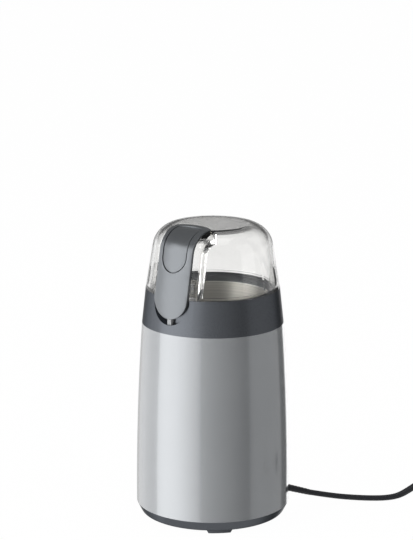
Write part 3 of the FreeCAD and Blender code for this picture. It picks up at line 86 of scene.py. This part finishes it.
def grain_group():
    """Fine mottling for moulded and cast surfaces: a tone, a roughness and a height."""
    group = bpy.data.node_groups.new("surface_grain", "ShaderNodeTree")
    for name, kind, value in (("Scale", "NodeSocketFloat", 1500.0),
                              ("Stretch", "NodeSocketVector", (1, 1, 1)),
                              ("Tone low", "NodeSocketFloat", 0.95),
                              ("Tone high", "NodeSocketFloat", 1.05),
                              ("Rough low", "NodeSocketFloat", 0.4),
                              ("Rough high", "NodeSocketFloat", 0.5)):
        group.interface.new_socket(name, in_out="INPUT", socket_type=kind).default_value = value
    for name in ("Tone", "Roughness", "Height"):
        group.interface.new_socket(name, in_out="OUTPUT", socket_type="NodeSocketFloat")
    given = group.nodes.new("NodeGroupInput")
    result = group.nodes.new("NodeGroupOutput")
    place = group.nodes.new("ShaderNodeTexCoord")
    stretch = add_node(group, "ShaderNodeVectorMath", operation="MULTIPLY")
    fine = add_node(group, "ShaderNodeTexNoise", Detail=2.0)
    broad = add_node(group, "ShaderNodeTexNoise", Scale=22.0, Detail=3.0)
    blend = add_node(group, "ShaderNodeMix", data_type="FLOAT")
    blend.inputs[0].default_value = 0.4
    tone = add_node(group, "ShaderNodeMapRange", From_Min=0.35, From_Max=0.65)
    rough = add_node(group, "ShaderNodeMapRange", From_Min=0.35, From_Max=0.65)
    join(group,
         (place.outputs["Object"], stretch.inputs[0]),
         (given.outputs["Stretch"], stretch.inputs[1]),
         (stretch.outputs[0], fine.inputs["Vector"]),
         (given.outputs["Scale"], fine.inputs["Scale"]),
         (place.outputs["Object"], broad.inputs["Vector"]),
         (fine.outputs["Fac"], blend.inputs[2]),
         (broad.outputs["Fac"], blend.inputs[3]),
         (blend.outputs[0], tone.inputs["Value"]),
         (blend.outputs[0], rough.inputs["Value"]),
         (given.outputs["Tone low"], tone.inputs["To Min"]),
         (given.outputs["Tone high"], tone.inputs["To Max"]),
         (given.outputs["Rough low"], rough.inputs["To Min"]),
         (given.outputs["Rough high"], rough.inputs["To Max"]),
         (tone.outputs[0], result.inputs["Tone"]),
         (rough.outputs[0], result.inputs["Roughness"]),
         (fine.outputs["Fac"], result.inputs["Height"]))
    return group


surface_grain = grain_group()


def place_grain(tree, **values):
    """The shared grain in a material's tree, with its own values."""
    grain = tree.nodes.new("ShaderNodeGroup")
    grain.node_tree = surface_grain
    for name, value in values.items():
        grain.inputs[name.replace("_", " ")].default_value = value
    return grain


def tinted(tree, colour):
    """A colour that is multiplied by what is linked to its socket 7."""
    shade = add_node(tree, "ShaderNodeMix", data_type="RGBA", blend_type="MULTIPLY")
    shade.inputs[0].default_value = 1.0
    shade.inputs[6].default_value = (*colour, 1)
    return shade


def grained(name, colour, rough, tone=(0.94, 1.06), scale=1500.0, stretch=(1, 1, 1), bump=0.1, depth=0.0001,
            metallic=0.0):
    """A finish whose tone, roughness and fine relief come from the shared grain."""
    finish, tree, shader = new_material(name)
    shader.inputs["Metallic"].default_value = metallic
    grain = place_grain(tree, Scale=scale, Stretch=stretch, Tone_low=tone[0], Tone_high=tone[1],
                        Rough_low=rough[0], Rough_high=rough[1])
    shade = tinted(tree, colour)
    relief = add_node(tree, "ShaderNodeBump", Strength=bump, Distance=depth)
    join(tree,
         (grain.outputs["Tone"], shade.inputs[7]),
         (shade.outputs[2], shader.inputs["Base Color"]),
         (grain.outputs["Roughness"], shader.inputs["Roughness"]),
         (grain.outputs["Height"], relief.inputs["Height"]),
         (relief.outputs["Normal"], shader.inputs["Normal"]))
    return finish


def dress(finish, *names):
    """Give frame nodes their finish."""
    for name in names:
        for place in nodes[name].material_slots:
            place.material = finish


mm = 0.001
cord_wide = 5.2 * mm
cord_thick = 3.0 * mm
plug_x = 144.35
plug_lie = 6.85
cord_route = [(42.4, 50.6, 9.2), (52.7, 62.8, 5.6), (63.0, 75.1, 3.3), (70.7, 84.3, 2.1), (77.1, 91.9, 1.75),
              (80.2, 101.0, 1.62), (78.9, 115.0, 1.62), (76.6, 130.5, 1.8)]

# The coil is laid in half turns, each from one crossing of its middle line to the next: first on the
# table, then on top of that. A half turn's points start and end 15 degrees short of its crossings, so
# turn_reach is the share of its radius that they span along the line.
coil_middle = Vector((111.6, 146.0, 0.0))
coil_low = 2.5
coil_high = 6.1
crossings = [(-35.6, coil_low), (32.75, coil_low), (-29.9, coil_low), (27.05, coil_low), (-24.2, coil_low),
             (21.35, coil_high), (-29.9, coil_high), (27.05, coil_high), (-35.6, coil_high),
             (32.75, coil_high)]
turn_points = 6
first_angle = 15
turn_reach = 0.966
for number, ((x0, z0), (x1, z1)) in enumerate(zip(crossings, crossings[1:])):
    half_middle = (x0 + x1) / 2
    half_radius = abs(x1 - x0) / 2 / turn_reach
    side = 1 if number % 2 == 0 else -1
    way = 1 if x1 > x0 else -1
    for step in range(turn_points):
        turn = math.radians(first_angle * (2 * step + 1))
        cord_route.append((coil_middle.x + half_middle - way * half_radius * math.cos(turn),
                           coil_middle.y + side * half_radius * math.sin(turn),
                           z0 + (z1 - z0) * (step + 0.5) / turn_points))
cord_route += [(plug_x, 140.8, 6.1), (plug_x, 135.4, 6.2), (plug_x, 130.0, 6.75), (plug_x, 122.0, plug_lie)]

cord_line = bpy.data.curves.new("cord_line", "CURVE")
cord_line.dimensions = "3D"
cord_line.resolution_u = 8
cord_line.twist_mode = "Z_UP"
spline = cord_line.splines.new("NURBS")
spline.points.add(len(cord_route) - 1)
for point, (x, y, z) in zip(spline.points, cord_route):
    point.co = (x * mm, y * mm, z * mm, 1.0)
spline.order_u = 3
spline.use_endpoint_u = True
cord_curve = bpy.data.objects.new("cord_curve", cord_line)
bpy.context.collection.objects.link(cord_curve)
bpy.context.view_layer.update()
centre_mesh = bpy.data.meshes.new_from_object(cord_curve)

# Its section is a flat oval with a shallow groove between the cores on both faces.
groove_depth = 0.35 * mm
quarter = 7
section_points = []
core = (cord_wide - cord_thick) / 2
for step in range(4 * quarter):
    turn = 2 * math.pi * (step + 0.5) / (4 * quarter)
    x, y = math.cos(turn) * cord_thick / 2, math.sin(turn) * cord_thick / 2
    x += core if x > 0 else -core
    section_points.append((x, y))
section_points.insert(quarter, (0.0, cord_thick / 2 - groove_depth))
section_points.insert(3 * quarter + 1, (0.0, groove_depth - cord_thick / 2))
section_line = bpy.data.curves.new("cord_section", "CURVE")
section_line.dimensions = "2D"
edge = section_line.splines.new("POLY")
edge.points.add(len(section_points) - 1)
for point, (x, y) in zip(edge.points, section_points):
    point.co = (x, y, 0.0, 1.0)
edge.use_cyclic_u = True
cord_section = bpy.data.objects.new("cord_section", section_line)
bpy.context.collection.objects.link(cord_section)
cord_line.bevel_mode = "OBJECT"
cord_line.bevel_object = cord_section
cord_line.use_fill_caps = True
bpy.context.view_layer.update()
swept = cord_curve.evaluated_get(bpy.context.evaluated_depsgraph_get())
flex = bpy.data.objects.new("flex", bpy.data.meshes.new_from_object(swept))
bpy.context.collection.objects.link(flex)
bpy.data.objects.remove(cord_curve)
bpy.data.objects.remove(cord_section)
bpy.context.view_layer.objects.active = flex
flex.select_set(True)
bpy.ops.object.mode_set(mode="EDIT")
bpy.ops.mesh.select_all(action="SELECT")
bpy.ops.mesh.normals_make_consistent(inside=False)
bpy.ops.object.mode_set(mode="OBJECT")
bpy.ops.object.shade_smooth_by_angle(angle=math.radians(40))
bpy.ops.object.select_all(action="DESELECT")

cord_finish = grained("cord_sheath", (0.017, 0.018, 0.022), (0.33, 0.43), scale=900.0)
flex.data.materials.clear()
flex.data.materials.append(cord_finish)
flex.visible_glossy = False
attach(flex, "housing")
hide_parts("mains_cord", "cord_coil", "cord_tail")
dress(cord_finish, "inner_cord", "cord_tie")


# Strain relief: soft moulded sleeve with ribs, in the cord's own plastic. It is pushed through the
# base rim from inside and tapers onto the cord.
def start_piece(name, thing):
    """Give a new object and its mesh the same name."""
    thing.name = name
    thing.data.name = name
    return thing


def oval_tube(name, stations, around=40):
    """A closed tube of flat-oval rings along Z; each station is (height, wide, thick) in millimetres."""
    rows = len(stations) - 1
    bpy.ops.object.select_all(action="DESELECT")
    bpy.ops.mesh.primitive_grid_add(x_subdivisions=around, y_subdivisions=rows, size=1.0)
    piece = start_piece(name, bpy.context.object)
    for vertex in piece.data.vertices:
        turn = 2 * math.pi * (vertex.co.x + 0.5 + 0.5 / around)
        height, wide, thick = stations[round((vertex.co.y + 0.5) * rows)]
        small = min(wide, thick)
        x = math.cos(turn) * small / 2 + math.copysign((wide - small) / 2, math.cos(turn))
        y = math.sin(turn) * small / 2 + math.copysign((thick - small) / 2, math.sin(turn))
        vertex.co = (x * mm, y * mm, height * mm)
    bpy.ops.object.mode_set(mode="EDIT")
    bpy.ops.mesh.select_all(action="SELECT")
    bpy.ops.mesh.remove_doubles(threshold=0.01 * mm)
    bpy.ops.mesh.fill_holes(sides=0)
    bpy.ops.mesh.select_all(action="SELECT")
    bpy.ops.mesh.normals_make_consistent(inside=False)
    bpy.ops.object.mode_set(mode="OBJECT")
    bpy.ops.object.shade_smooth_by_angle(angle=math.radians(38))
    bpy.ops.object.select_all(action="DESELECT")
    return piece


guard_stations = [(0, 6.4, 4.0), (5.5, 6.4, 4.0)]
for rib in range(6):
    start = 6.2 + rib * 2.3
    wide = 6.3 - rib * 0.12
    thick = 3.9 - rib * 0.08
    guard_stations += [(start, wide, thick), (start + 1.2, wide, thick),
                       (start + 1.35, wide - 0.4, thick - 0.3), (start + 2.1, wide - 0.4, thick - 0.3)]
guard_stations += [(20.2, 5.5, 3.3), (21.3, 5.4, 3.2)]
guard = oval_tube("cord_guard", guard_stations)
guard_start = Vector((29.25, 34.86, 15.2)) * mm
guard_end = Vector(cord_route[0]) * mm
guard_way = (guard_end - guard_start).normalized()
guard_side = Vector((0, 0, 1)).cross(guard_way).normalized()
guard_up = guard_way.cross(guard_side)
guard_place = Matrix((guard_side, guard_up, guard_way)).transposed().to_4x4()
guard_place.translation = guard_start
guard.data.transform(guard_place)
guard.data.materials.append(cord_finish)
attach(guard, "housing")
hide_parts("cord_strain_relief")

# Plug: one flat moulding on the lead, with a ribbed neck and hollowed grips; its two pins are nickel
# plated, and half of each wears a plastic sleeve.
plug_start = 124.8
pin_side = 9.3
sleeve_start = 70.9
plug_stations = [(0, 6.0, 3.8)]
for rib in range(5):
    start = 1.0 + rib * 3.0
    wide = 7.0 + rib * 0.9
    thick = 4.9 + rib * 0.55
    plug_stations += [(start, wide, thick), (start + 1.9, wide + 0.3, thick + 0.2),
                      (start + 2.1, wide - 0.7, 4.2 + rib * 0.5), (start + 2.9, wide - 0.7, 4.2 + rib * 0.5)]
plug_stations += [(16.2, 12.6, 8.0), (18.0, 15.8, 9.6), (20.5, 18.5, 10.6), (23.5, 22.8, 11.2),
                  (27.0, 28.4, 11.9), (30.0, 32.6, 12.8), (33.0, 34.8, 13.4), (36.0, 35.3, 13.7),
                  (39.0, 35.0, 13.2), (42.0, 34.6, 12.4), (45.0, 34.6, 12.4), (48.0, 35.0, 13.2),
                  (50.0, 35.3, 13.7), (53.0, 35.3, 13.7), (53.7, 34.7, 13.1), (54.0, 33.6, 12.0)]
plug = oval_tube("plug", plug_stations, 56)
plug_way = Matrix(((1, 0, 0), (0, 0, -1), (0, 1, 0))).to_4x4()
plug_way.translation = Vector((plug_x, plug_start, plug_lie)) * mm
plug.data.transform(plug_way)
plug_finish = grained("plug_moulding", (0.030, 0.031, 0.034), (0.42, 0.5), scale=1800.0)
plug.data.materials.append(plug_finish)
plug.visible_glossy = False
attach(plug, "housing")
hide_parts("plug_body")

nickel = grained("nickel_plate", (0.66, 0.64, 0.60), (0.22, 0.32), metallic=1.0, bump=0.03)
dress(nickel, "plug_pins")
sleeve_stations = [(0, 4.9, 4.9), (1.0, 4.9, 4.9), (1.5, 4.3, 4.3), (9.4, 4.3, 4.3), (9.8, 4.06, 4.06)]
for number, side in enumerate((-1, 1)):
    sleeve = oval_tube(f"pin_sleeve_{number}", sleeve_stations, 32)
    sleeve_way = plug_way.copy()
    sleeve_way.translation = Vector((plug_x + side * pin_side, sleeve_start, plug_lie)) * mm
    sleeve.data.transform(sleeve_way)
    sleeve.data.materials.append(plug_finish)
    sleeve.visible_glossy = False
    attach(sleeve, "housing")

# Table: white, and seen as plain white by the camera and through the lid, but for a little of the
# shadow. Reflections and a view from below pass through it.
shadow_kept = 0.015
bpy.ops.mesh.primitive_plane_add(size=12.0, location=(0, 0, 0))
table = bpy.context.object
table.name = "table"
table_finish, tree, shader = new_material("table_finish")
shader.inputs["Base Color"].default_value = (0.9, 0.9, 0.9, 1)
shader.inputs["Roughness"].default_value = 0.9
rays = add_node(tree, "ShaderNodeLightPath")
underneath = add_node(tree, "ShaderNodeNewGeometry")
glow = add_node(tree, "ShaderNodeEmission", Color=(1, 1, 1, 1), Strength=1.0)
clear = add_node(tree, "ShaderNodeBsdfTransparent")
seen = add_node(tree, "ShaderNodeMath", operation="MAXIMUM")
faded = add_node(tree, "ShaderNodeMath", operation="MULTIPLY")
faded.inputs[1].default_value = 1 - shadow_kept
unseen = add_node(tree, "ShaderNodeMath", operation="MAXIMUM")
blank = add_node(tree, "ShaderNodeMixShader")
gone = add_node(tree, "ShaderNodeMixShader")
join(tree,
     (rays.outputs["Is Camera Ray"], seen.inputs[0]),
     (rays.outputs["Is Transmission Ray"], seen.inputs[1]),
     (seen.outputs[0], faded.inputs[0]),
     (faded.outputs[0], blank.inputs[0]),
     (shader.outputs[0], blank.inputs[1]),
     (glow.outputs[0], blank.inputs[2]),
     (rays.outputs["Is Glossy Ray"], unseen.inputs[0]),
     (underneath.outputs["Backfacing"], unseen.inputs[1]),
     (unseen.outputs[0], gone.inputs[0]),
     (blank.outputs[0], gone.inputs[1]),
     (clear.outputs[0], gone.inputs[2]),
     (gone.outputs[0], tree.nodes["Material Output"].inputs["Surface"]))
table.data.materials.append(table_finish)
bpy.ops.object.select_all(action="DESELECT")

# World: white for the camera, grey for light and darker for reflections. What the clear lid shows has
# a dim upper half with one bright window in it, which lights the far side of the bowl.
light_level = 0.55
mirror_level = 0.16
upper_level = 0.14
window_level = 6.0
world = bpy.data.worlds.new("studio")
scene.world = world
world.use_nodes = True
sky = world.node_tree
back = sky.nodes["Background"]
back.inputs["Color"].default_value = (1, 1, 1, 1)
sky_rays = add_node(sky, "ShaderNodeLightPath")
sky_level = add_node(sky, "ShaderNodeMapRange", To_Min=light_level, To_Max=mirror_level)
sky_way = add_node(sky, "ShaderNodeTexCoord")
sky_parts = add_node(sky, "ShaderNodeSeparateXYZ")
sky_upper = add_node(sky, "ShaderNodeMapRange", From_Min=0.0, From_Max=0.10, To_Min=1.0, To_Max=upper_level)
window_way = add_node(sky, "ShaderNodeVectorMath", operation="DOT_PRODUCT")
window_way.inputs[1].default_value = (-0.52, -0.74, 0.42)
sky_window = add_node(sky, "ShaderNodeMapRange", From_Min=0.80, From_Max=0.90, To_Min=0.0,
                      To_Max=window_level)
through_lid = add_node(sky, "ShaderNodeMath", operation="ADD")
sky_through = add_node(sky, "ShaderNodeMix", data_type="FLOAT")
sky_seen = add_node(sky, "ShaderNodeMath", operation="MAXIMUM")
join(sky,
     (sky_rays.outputs["Is Glossy Ray"], sky_level.inputs["Value"]),
     (sky_way.outputs["Generated"], sky_parts.inputs[0]),
     (sky_way.outputs["Generated"], window_way.inputs[0]),
     (sky_parts.outputs["Z"], sky_upper.inputs["Value"]),
     (window_way.outputs["Value"], sky_window.inputs["Value"]),
     (sky_upper.outputs[0], through_lid.inputs[0]),
     (sky_window.outputs[0], through_lid.inputs[1]),
     (sky_rays.outputs["Is Transmission Ray"], sky_through.inputs[0]),
     (sky_level.outputs[0], sky_through.inputs[2]),
     (through_lid.outputs[0], sky_through.inputs[3]),
     (sky_through.outputs[0], sky_seen.inputs[0]),
     (sky_rays.outputs["Is Camera Ray"], sky_seen.inputs[1]),
     (sky_seen.outputs[0], back.inputs["Strength"]))


# Lamps: a wide soft one on the left, a weaker one on the right and one overhead. None shows in the
# lacquer, because the boards make its bands.
def lamp(name, azimuth, height, distance, wide, tall, power):
    """A soft lamp at an azimuth from the lever's side, aimed at the middle of the housing."""
    data = bpy.data.lights.new(name, "AREA")
    data.shape = "RECTANGLE"
    data.size = wide
    data.size_y = tall
    data.energy = power
    thing = bpy.data.objects.new(name, data)
    bpy.context.collection.objects.link(thing)
    turn = math.radians(azimuth)
    spot = Vector((distance * math.sin(turn), -distance * math.cos(turn), height))
    housing_middle = Vector((0, 0, 0.1))
    thing.location = spot
    thing.rotation_euler = (spot - housing_middle).to_track_quat("Z", "Y").to_euler()
    thing.visible_glossy = False


lamp("key_lamp", azimuth=-12, height=0.9, distance=1.5, wide=1.2, tall=1.4, power=14)
lamp("fill_lamp", azimuth=110, height=0.8, distance=1.6, wide=1.0, tall=1.4, power=5)
lamp("top_lamp", azimuth=40, height=2.0, distance=0.2, wide=1.4, tall=1.4, power=10)


# Boards: upright curved ones stand all round, as bright as the lacquer's bands are where each shows,
# and a flat one lies below for the base's rim. Only reflections see them.
board_distance = 1.2
board_foot = -1.4


def only_reflected(thing):
    """Hide a board from all but reflections."""
    thing.visible_camera = False
    thing.visible_diffuse = False
    thing.visible_transmission = False
    thing.visible_shadow = False


def board(name, levels, high):
    """An upright curved board; levels are (azimuth, strength) pairs in rising order."""
    first, last = levels[0][0], levels[-1][0]
    count = int((last - first) / 3)
    corners = []
    strengths = []
    for step in range(count + 1):
        azimuth = first + (last - first) * step / count
        for (a0, s0), (a1, s1) in zip(levels, levels[1:]):
            if a0 <= azimuth <= a1:
                strength = s0 + (s1 - s0) * (azimuth - a0) / (a1 - a0)
        turn = math.radians(azimuth)
        for height in (board_foot, high):
            corners.append((board_distance * math.sin(turn), -board_distance * math.cos(turn), height))
            strengths.append(strength)
    mesh = bpy.data.meshes.new(name)
    mesh.from_pydata(corners, [], [(2 * k, 2 * k + 1, 2 * k + 3, 2 * k + 2) for k in range(count)])
    shine = mesh.attributes.new("shine", "FLOAT", "POINT")
    for item, strength in zip(shine.data, strengths):
        item.value = strength
    thing = bpy.data.objects.new(name, mesh)
    bpy.context.collection.objects.link(thing)
    finish, tree = new_material(name)[:2]
    level = add_node(tree, "ShaderNodeAttribute", attribute_name="shine")
    light = add_node(tree, "ShaderNodeEmission", Color=(1, 1, 1, 1))
    join(tree,
         (level.outputs["Fac"], light.inputs["Strength"]),
         (light.outputs[0], tree.nodes["Material Output"].inputs["Surface"]))
    mesh.materials.append(finish)
    only_reflected(thing)


board("left_board", [(-53, 1.8), (-35, 1.9), (-18, 1.8), (-4, 1.55), (8, 1.25), (21, 0.95)], high=0.9)
board("far_left_board", [(-110, 0.9), (-86, 1.12), (-53.5, 1.0)], high=0.6)
board("front_board", [(22, 0.66), (45, 0.46), (70, 0.30), (96, 0.13)], high=0.4)
board("right_board", [(96.5, 0.37), (164, 0.38)], high=0.4)
board("edge_board", [(164.5, 0.12), (188, 0.12)], high=0.0)
board("back_board", [(188.5, 1.3), (208, 1.3)], high=0.0)
board("left_edge_board", [(208.5, 0.5), (250, 0.7)], high=0.0)

bpy.ops.mesh.primitive_plane_add(size=3.0, location=(0, 0, board_foot + 0.01))
floor_board = bpy.context.object
floor_board.name = "floor_board"
floor_finish, tree = new_material("floor_board")[:2]
light = add_node(tree, "ShaderNodeEmission", Color=(1, 1, 1, 1), Strength=0.6)
join(tree, (light.outputs[0], tree.nodes["Material Output"].inputs["Surface"]))
floor_board.data.materials.append(floor_finish)
only_reflected(floor_board)
bpy.ops.object.select_all(action="DESELECT")


# Outer shell: one moulded tube in silver-grey lacquer under a clear gloss coat, which holds the collar
# above and the base plate below.
def shader_of(finish):
    """A finish's Principled shader."""
    return finish.node_tree.nodes["Principled BSDF"]


lacquer = grained("silver_lacquer", (0.40, 0.415, 0.43), (0.20, 0.26), tone=(0.96, 1.04), scale=2600.0,
                  bump=0.0, metallic=0.75)
shader_of(lacquer).inputs["Coat Weight"].default_value = 1.0
shader_of(lacquer).inputs["Coat Roughness"].default_value = 0.03
dress(lacquer, "outer_shell")

# Collar, base and feet: slate-grey moulded plastic with a fine satin grain and a little metal flake in
# it, which gives its soft metallic sheen.
slate = grained("slate_plastic", (0.142, 0.152, 0.168), (0.26, 0.31), tone=(0.96, 1.04), scale=3500.0,
                bump=0.05, metallic=0.92)
shader_of(slate).inputs["Specular Tint"].default_value = (0.30, 0.30, 0.30, 1)
dress(slate, "collar", "base_plate", "rubber_feet")


# Press lever and its pad: the same slate plastic as the collar, with edges softened by the mould; their
# colour is a shade lighter than the collar's, painted light for the light that falls on the lever. The pad is
# a separate moulding, let into the lever's face.
def softened(name, body, width, finish):
    """A copy of a frame node with its sharp edges rounded, which then stands for that node."""
    bpy.ops.object.select_all(action="DESELECT")
    piece = nodes[name].copy()
    piece.data = nodes[name].data.copy()
    start_piece(f"{name}_soft", piece)
    for key in list(piece.keys()):
        del piece[key]
    bpy.context.collection.objects.link(piece)
    bpy.context.view_layer.objects.active = piece
    piece.select_set(True)
    bpy.ops.object.mode_set(mode="EDIT")
    bpy.ops.mesh.select_all(action="SELECT")
    bpy.ops.mesh.remove_doubles(threshold=0.002 * mm)
    bpy.ops.object.mode_set(mode="OBJECT")
    rim = piece.modifiers.new("rim", "BEVEL")
    rim.width = width * mm
    rim.segments = 2
    rim.limit_method = "ANGLE"
    rim.angle_limit = math.radians(40)
    bpy.ops.object.modifier_apply(modifier="rim")
    bpy.ops.object.shade_smooth_by_angle(angle=math.radians(35))
    bpy.ops.object.select_all(action="DESELECT")
    piece.data.materials.clear()
    piece.data.materials.append(finish)
    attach(piece, body)
    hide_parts(name)


# Painted light: the collar's slate plastic with a lighter colour, standing for the light that falls on the
# lever's face.
lever_painted_light_finish = grained("lever_plastic_painted_lighter", (0.222, 0.234, 0.248), (0.28, 0.33), tone=(0.97, 1.03), scale=3500.0,
                       bump=0.05, metallic=0.8)
softened("press_lever", "lever", 0.9, lever_painted_light_finish)
softened("thumb_pad", "lever", 0.3, lever_painted_light_finish)

# Lid: one clear moulding in polycarbonate, with thick walls and the channel for the lever. Its colour is
# darkened where the wall is seen edge on, a painted shade for the dark that the wall's edges show, and it
# lets lamp light through.
clear_finish, tree, shader = new_material("clear_lid")
shader.inputs["IOR"].default_value = 1.5
shader.inputs["Transmission Weight"].default_value = 1.0
haze = place_grain(tree, Scale=260.0, Tone_low=0.955, Tone_high=0.975, Rough_low=0.008, Rough_high=0.022)
tint = tinted(tree, (1.0, 0.998, 0.99))
# Painted shade: the glass colour is darkened where its surface is seen edge on.
rim_way = add_node(tree, "ShaderNodeLayerWeight", Blend=0.5)
edge_painted_shade = add_node(tree, "ShaderNodeMapRange", From_Min=0.5, From_Max=1.0, To_Min=1.0, To_Max=0.3)
edge_painted_shade_mix = tinted(tree, (1, 1, 1))
rays = add_node(tree, "ShaderNodeLightPath")
through = add_node(tree, "ShaderNodeBsdfTransparent", Color=(0.93, 0.93, 0.92, 1))
both = add_node(tree, "ShaderNodeMixShader")
join(tree,
     (haze.outputs["Tone"], tint.inputs[7]),
     (rim_way.outputs["Facing"], edge_painted_shade.inputs["Value"]),
     (tint.outputs[2], edge_painted_shade_mix.inputs[6]),
     (edge_painted_shade.outputs[0], edge_painted_shade_mix.inputs[7]),
     (edge_painted_shade_mix.outputs[2], shader.inputs["Base Color"]),
     (haze.outputs["Roughness"], shader.inputs["Roughness"]),
     (rays.outputs["Is Shadow Ray"], both.inputs[0]),
     (shader.outputs[0], both.inputs[1]),
     (through.outputs[0], both.inputs[2]),
     (both.outputs[0], tree.nodes["Material Output"].inputs["Surface"]))
dress(clear_finish, "lid_dome")


# Bowl, blade and shaft: stainless sheet, drawn, and steel bar, ground and turned, so the fine lines
# run round the axis.
def turned_metal(name, colour, rough, pitch=900.0):
    """Metal with fine lines round the main axis, as drawing and turning leave them."""
    finish, tree, shader = new_material(name)
    shader.inputs["Metallic"].default_value = 1.0
    shader.inputs["Anisotropic"].default_value = 0.85
    shader.inputs["Anisotropic Rotation"].default_value = 0.25
    line_way = add_node(tree, "ShaderNodeTangent", direction_type="RADIAL", axis="Z")
    place = add_node(tree, "ShaderNodeTexCoord")
    parts = add_node(tree, "ShaderNodeSeparateXYZ")
    across = add_node(tree, "ShaderNodeCombineXYZ")
    radius = add_node(tree, "ShaderNodeVectorMath", operation="LENGTH")
    along = add_node(tree, "ShaderNodeMath", operation="ADD")
    lines = add_node(tree, "ShaderNodeTexNoise", Detail=4.0, Scale=pitch)
    lines.noise_dimensions = "1D"
    tone = add_node(tree, "ShaderNodeMapRange", From_Min=0.3, From_Max=0.7, To_Min=0.86, To_Max=1.06)
    level = add_node(tree, "ShaderNodeMapRange", From_Min=0.3, From_Max=0.7, To_Min=rough[0], To_Max=rough[1])
    shade = tinted(tree, colour)
    relief = add_node(tree, "ShaderNodeBump", Strength=0.12, Distance=0.00005)
    join(tree,
         (line_way.outputs[0], shader.inputs["Tangent"]),
         (place.outputs["Object"], parts.inputs[0]),
         (parts.outputs["X"], across.inputs["X"]),
         (parts.outputs["Y"], across.inputs["Y"]),
         (across.outputs[0], radius.inputs[0]),
         (radius.outputs["Value"], along.inputs[0]),
         (parts.outputs["Z"], along.inputs[1]),
         (along.outputs[0], lines.inputs["W"]),
         (lines.outputs["Fac"], tone.inputs["Value"]),
         (lines.outputs["Fac"], level.inputs["Value"]),
         (tone.outputs[0], shade.inputs[7]),
         (shade.outputs[2], shader.inputs["Base Color"]),
         (level.outputs[0], shader.inputs["Roughness"]),
         (lines.outputs["Fac"], relief.inputs["Height"]),
         (relief.outputs["Normal"], shader.inputs["Normal"]))
    return finish


bowl_steel = turned_metal("drawn_steel", (0.52, 0.505, 0.465), (0.44, 0.56))
blade_steel = turned_metal("ground_steel", (0.58, 0.57, 0.55), (0.30, 0.42), 1800.0)
dress(bowl_steel, "grinding_bowl")
dress(blade_steel, "blade", "motor_shaft")

# Blade nut, switch case and cord clamp: black moulding filled with glass fibre, which leaves the
# surface dry.
black_moulding = grained("black_moulding", (0.028, 0.028, 0.030), (0.48, 0.58), scale=2200.0, bump=0.15)
dress(black_moulding, "blade_nut", "switch_body", "cord_clamp")

# Seals and motor mounts: moulded black rubber, dull and slightly bloomed. The seals are pressed into
# their seats, and the mounts keep the motor's hum from the housing.
rubber = grained("black_rubber", (0.018, 0.018, 0.018), (0.62, 0.76), tone=(0.8, 1.3), scale=700.0, bump=0.2)
dress(rubber, "bowl_seal", "shaft_seal", "motor_mounts")

# Plunger: pale acetal rod whose head shows in the collar's recess. The small switch button, which the
# leaf presses, is the same plastic.
acetal = grained("pale_acetal", (0.42, 0.43, 0.44), (0.30, 0.40), scale=1200.0, bump=0.05)
dress(acetal, "plunger", "switch_button")

# Inner mouldings: natural nylon with glass fibre, which leaves short pale streaks. The fan is dark
# nylon, and the capacitor sits in a yellow case.
nylon = grained("natural_nylon", (0.52, 0.49, 0.42), (0.42, 0.55), tone=(0.88, 1.08), scale=600.0,
                stretch=(1, 1, 5), bump=0.12)
fan_nylon = grained("fan_moulding", (0.05, 0.05, 0.055), (0.35, 0.45), scale=1200.0)
capacitor_case = grained("capacitor_case", (0.62, 0.44, 0.10), (0.30, 0.40), scale=800.0, bump=0.08)
dress(nylon, "bowl_carrier", "motor_upper_bracket", "motor_lower_bracket")
dress(fan_nylon, "cooling_fan")
dress(capacitor_case, "suppression_capacitor")

# Screws, bolts, wire springs and the pressed bracket: steel under bright zinc, lightly clouded. The
# switch's leaf is bare spring strip with its rolling lines.
zinc = grained("bright_zinc", (0.58, 0.58, 0.56), (0.24, 0.42), tone=(0.82, 1.08), scale=480.0, bump=0.05,
               metallic=1.0)
spring_strip = grained("spring_strip", (0.60, 0.59, 0.56), (0.18, 0.28), scale=1800.0, stretch=(0.1, 1, 1),
                       bump=0.04, metallic=1.0)
dress(zinc, "base_screws", "motor_screws", "motor_bolts", "clamp_screws", "guide_pins", "switch_bracket",
      "plunger_spring", "lever_spring", "brush_spring_left", "brush_spring_right")
dress(spring_strip, "switch_leaf")

# Motor iron: stacks of half-millimetre sheets, stamped and riveted together, so lines run level round
# both cores. The rotor's stack is pressed onto the shaft.
sheets = grained("stacked_sheet", (0.16, 0.16, 0.17), (0.38, 0.55), tone=(0.7, 1.2), scale=60.0,
                 stretch=(0.3, 0.3, 33), bump=0.5, depth=0.0002, metallic=0.8)
dress(sheets, "stator_core", "rotor_core")

# Windings: enamelled copper wire, laid in turns round the field's poles and in the rotor's slots, and
# then varnished, so a clear coat lies on the wire.
copper = grained("enamelled_copper", (0.50, 0.17, 0.055), (0.24, 0.36), tone=(0.75, 1.1), scale=90.0,
                 stretch=(1, 1, 24), bump=0.6, depth=0.0003, metallic=0.85)
shader_of(copper).inputs["Coat Weight"].default_value = 0.6
shader_of(copper).inputs["Coat Roughness"].default_value = 0.15
dress(copper, "field_coils", "rotor_windings")

# Bearings, brush gear and commutator: sleeves of sintered bronze, holders pressed from brass, blocks of
# pressed carbon, and copper bars that the brushes have worn.
bronze = grained("sintered_bronze", (0.48, 0.31, 0.14), (0.42, 0.56), scale=2400.0, bump=0.3, metallic=1.0)
brass = grained("pressed_brass", (0.70, 0.52, 0.22), (0.24, 0.36), scale=700.0, metallic=1.0, bump=0.04)
carbon = grained("pressed_carbon", (0.022, 0.022, 0.023), (0.44, 0.58), scale=1700.0, bump=0.2)
worn_copper = turned_metal("worn_copper", (0.62, 0.30, 0.16), (0.2, 0.34))
dress(bronze, "upper_bearing", "lower_bearing")
dress(brass, "brush_holder_left", "brush_holder_right")
dress(carbon, "carbon_brush_left", "carbon_brush_right")
dress(worn_copper, "commutator")
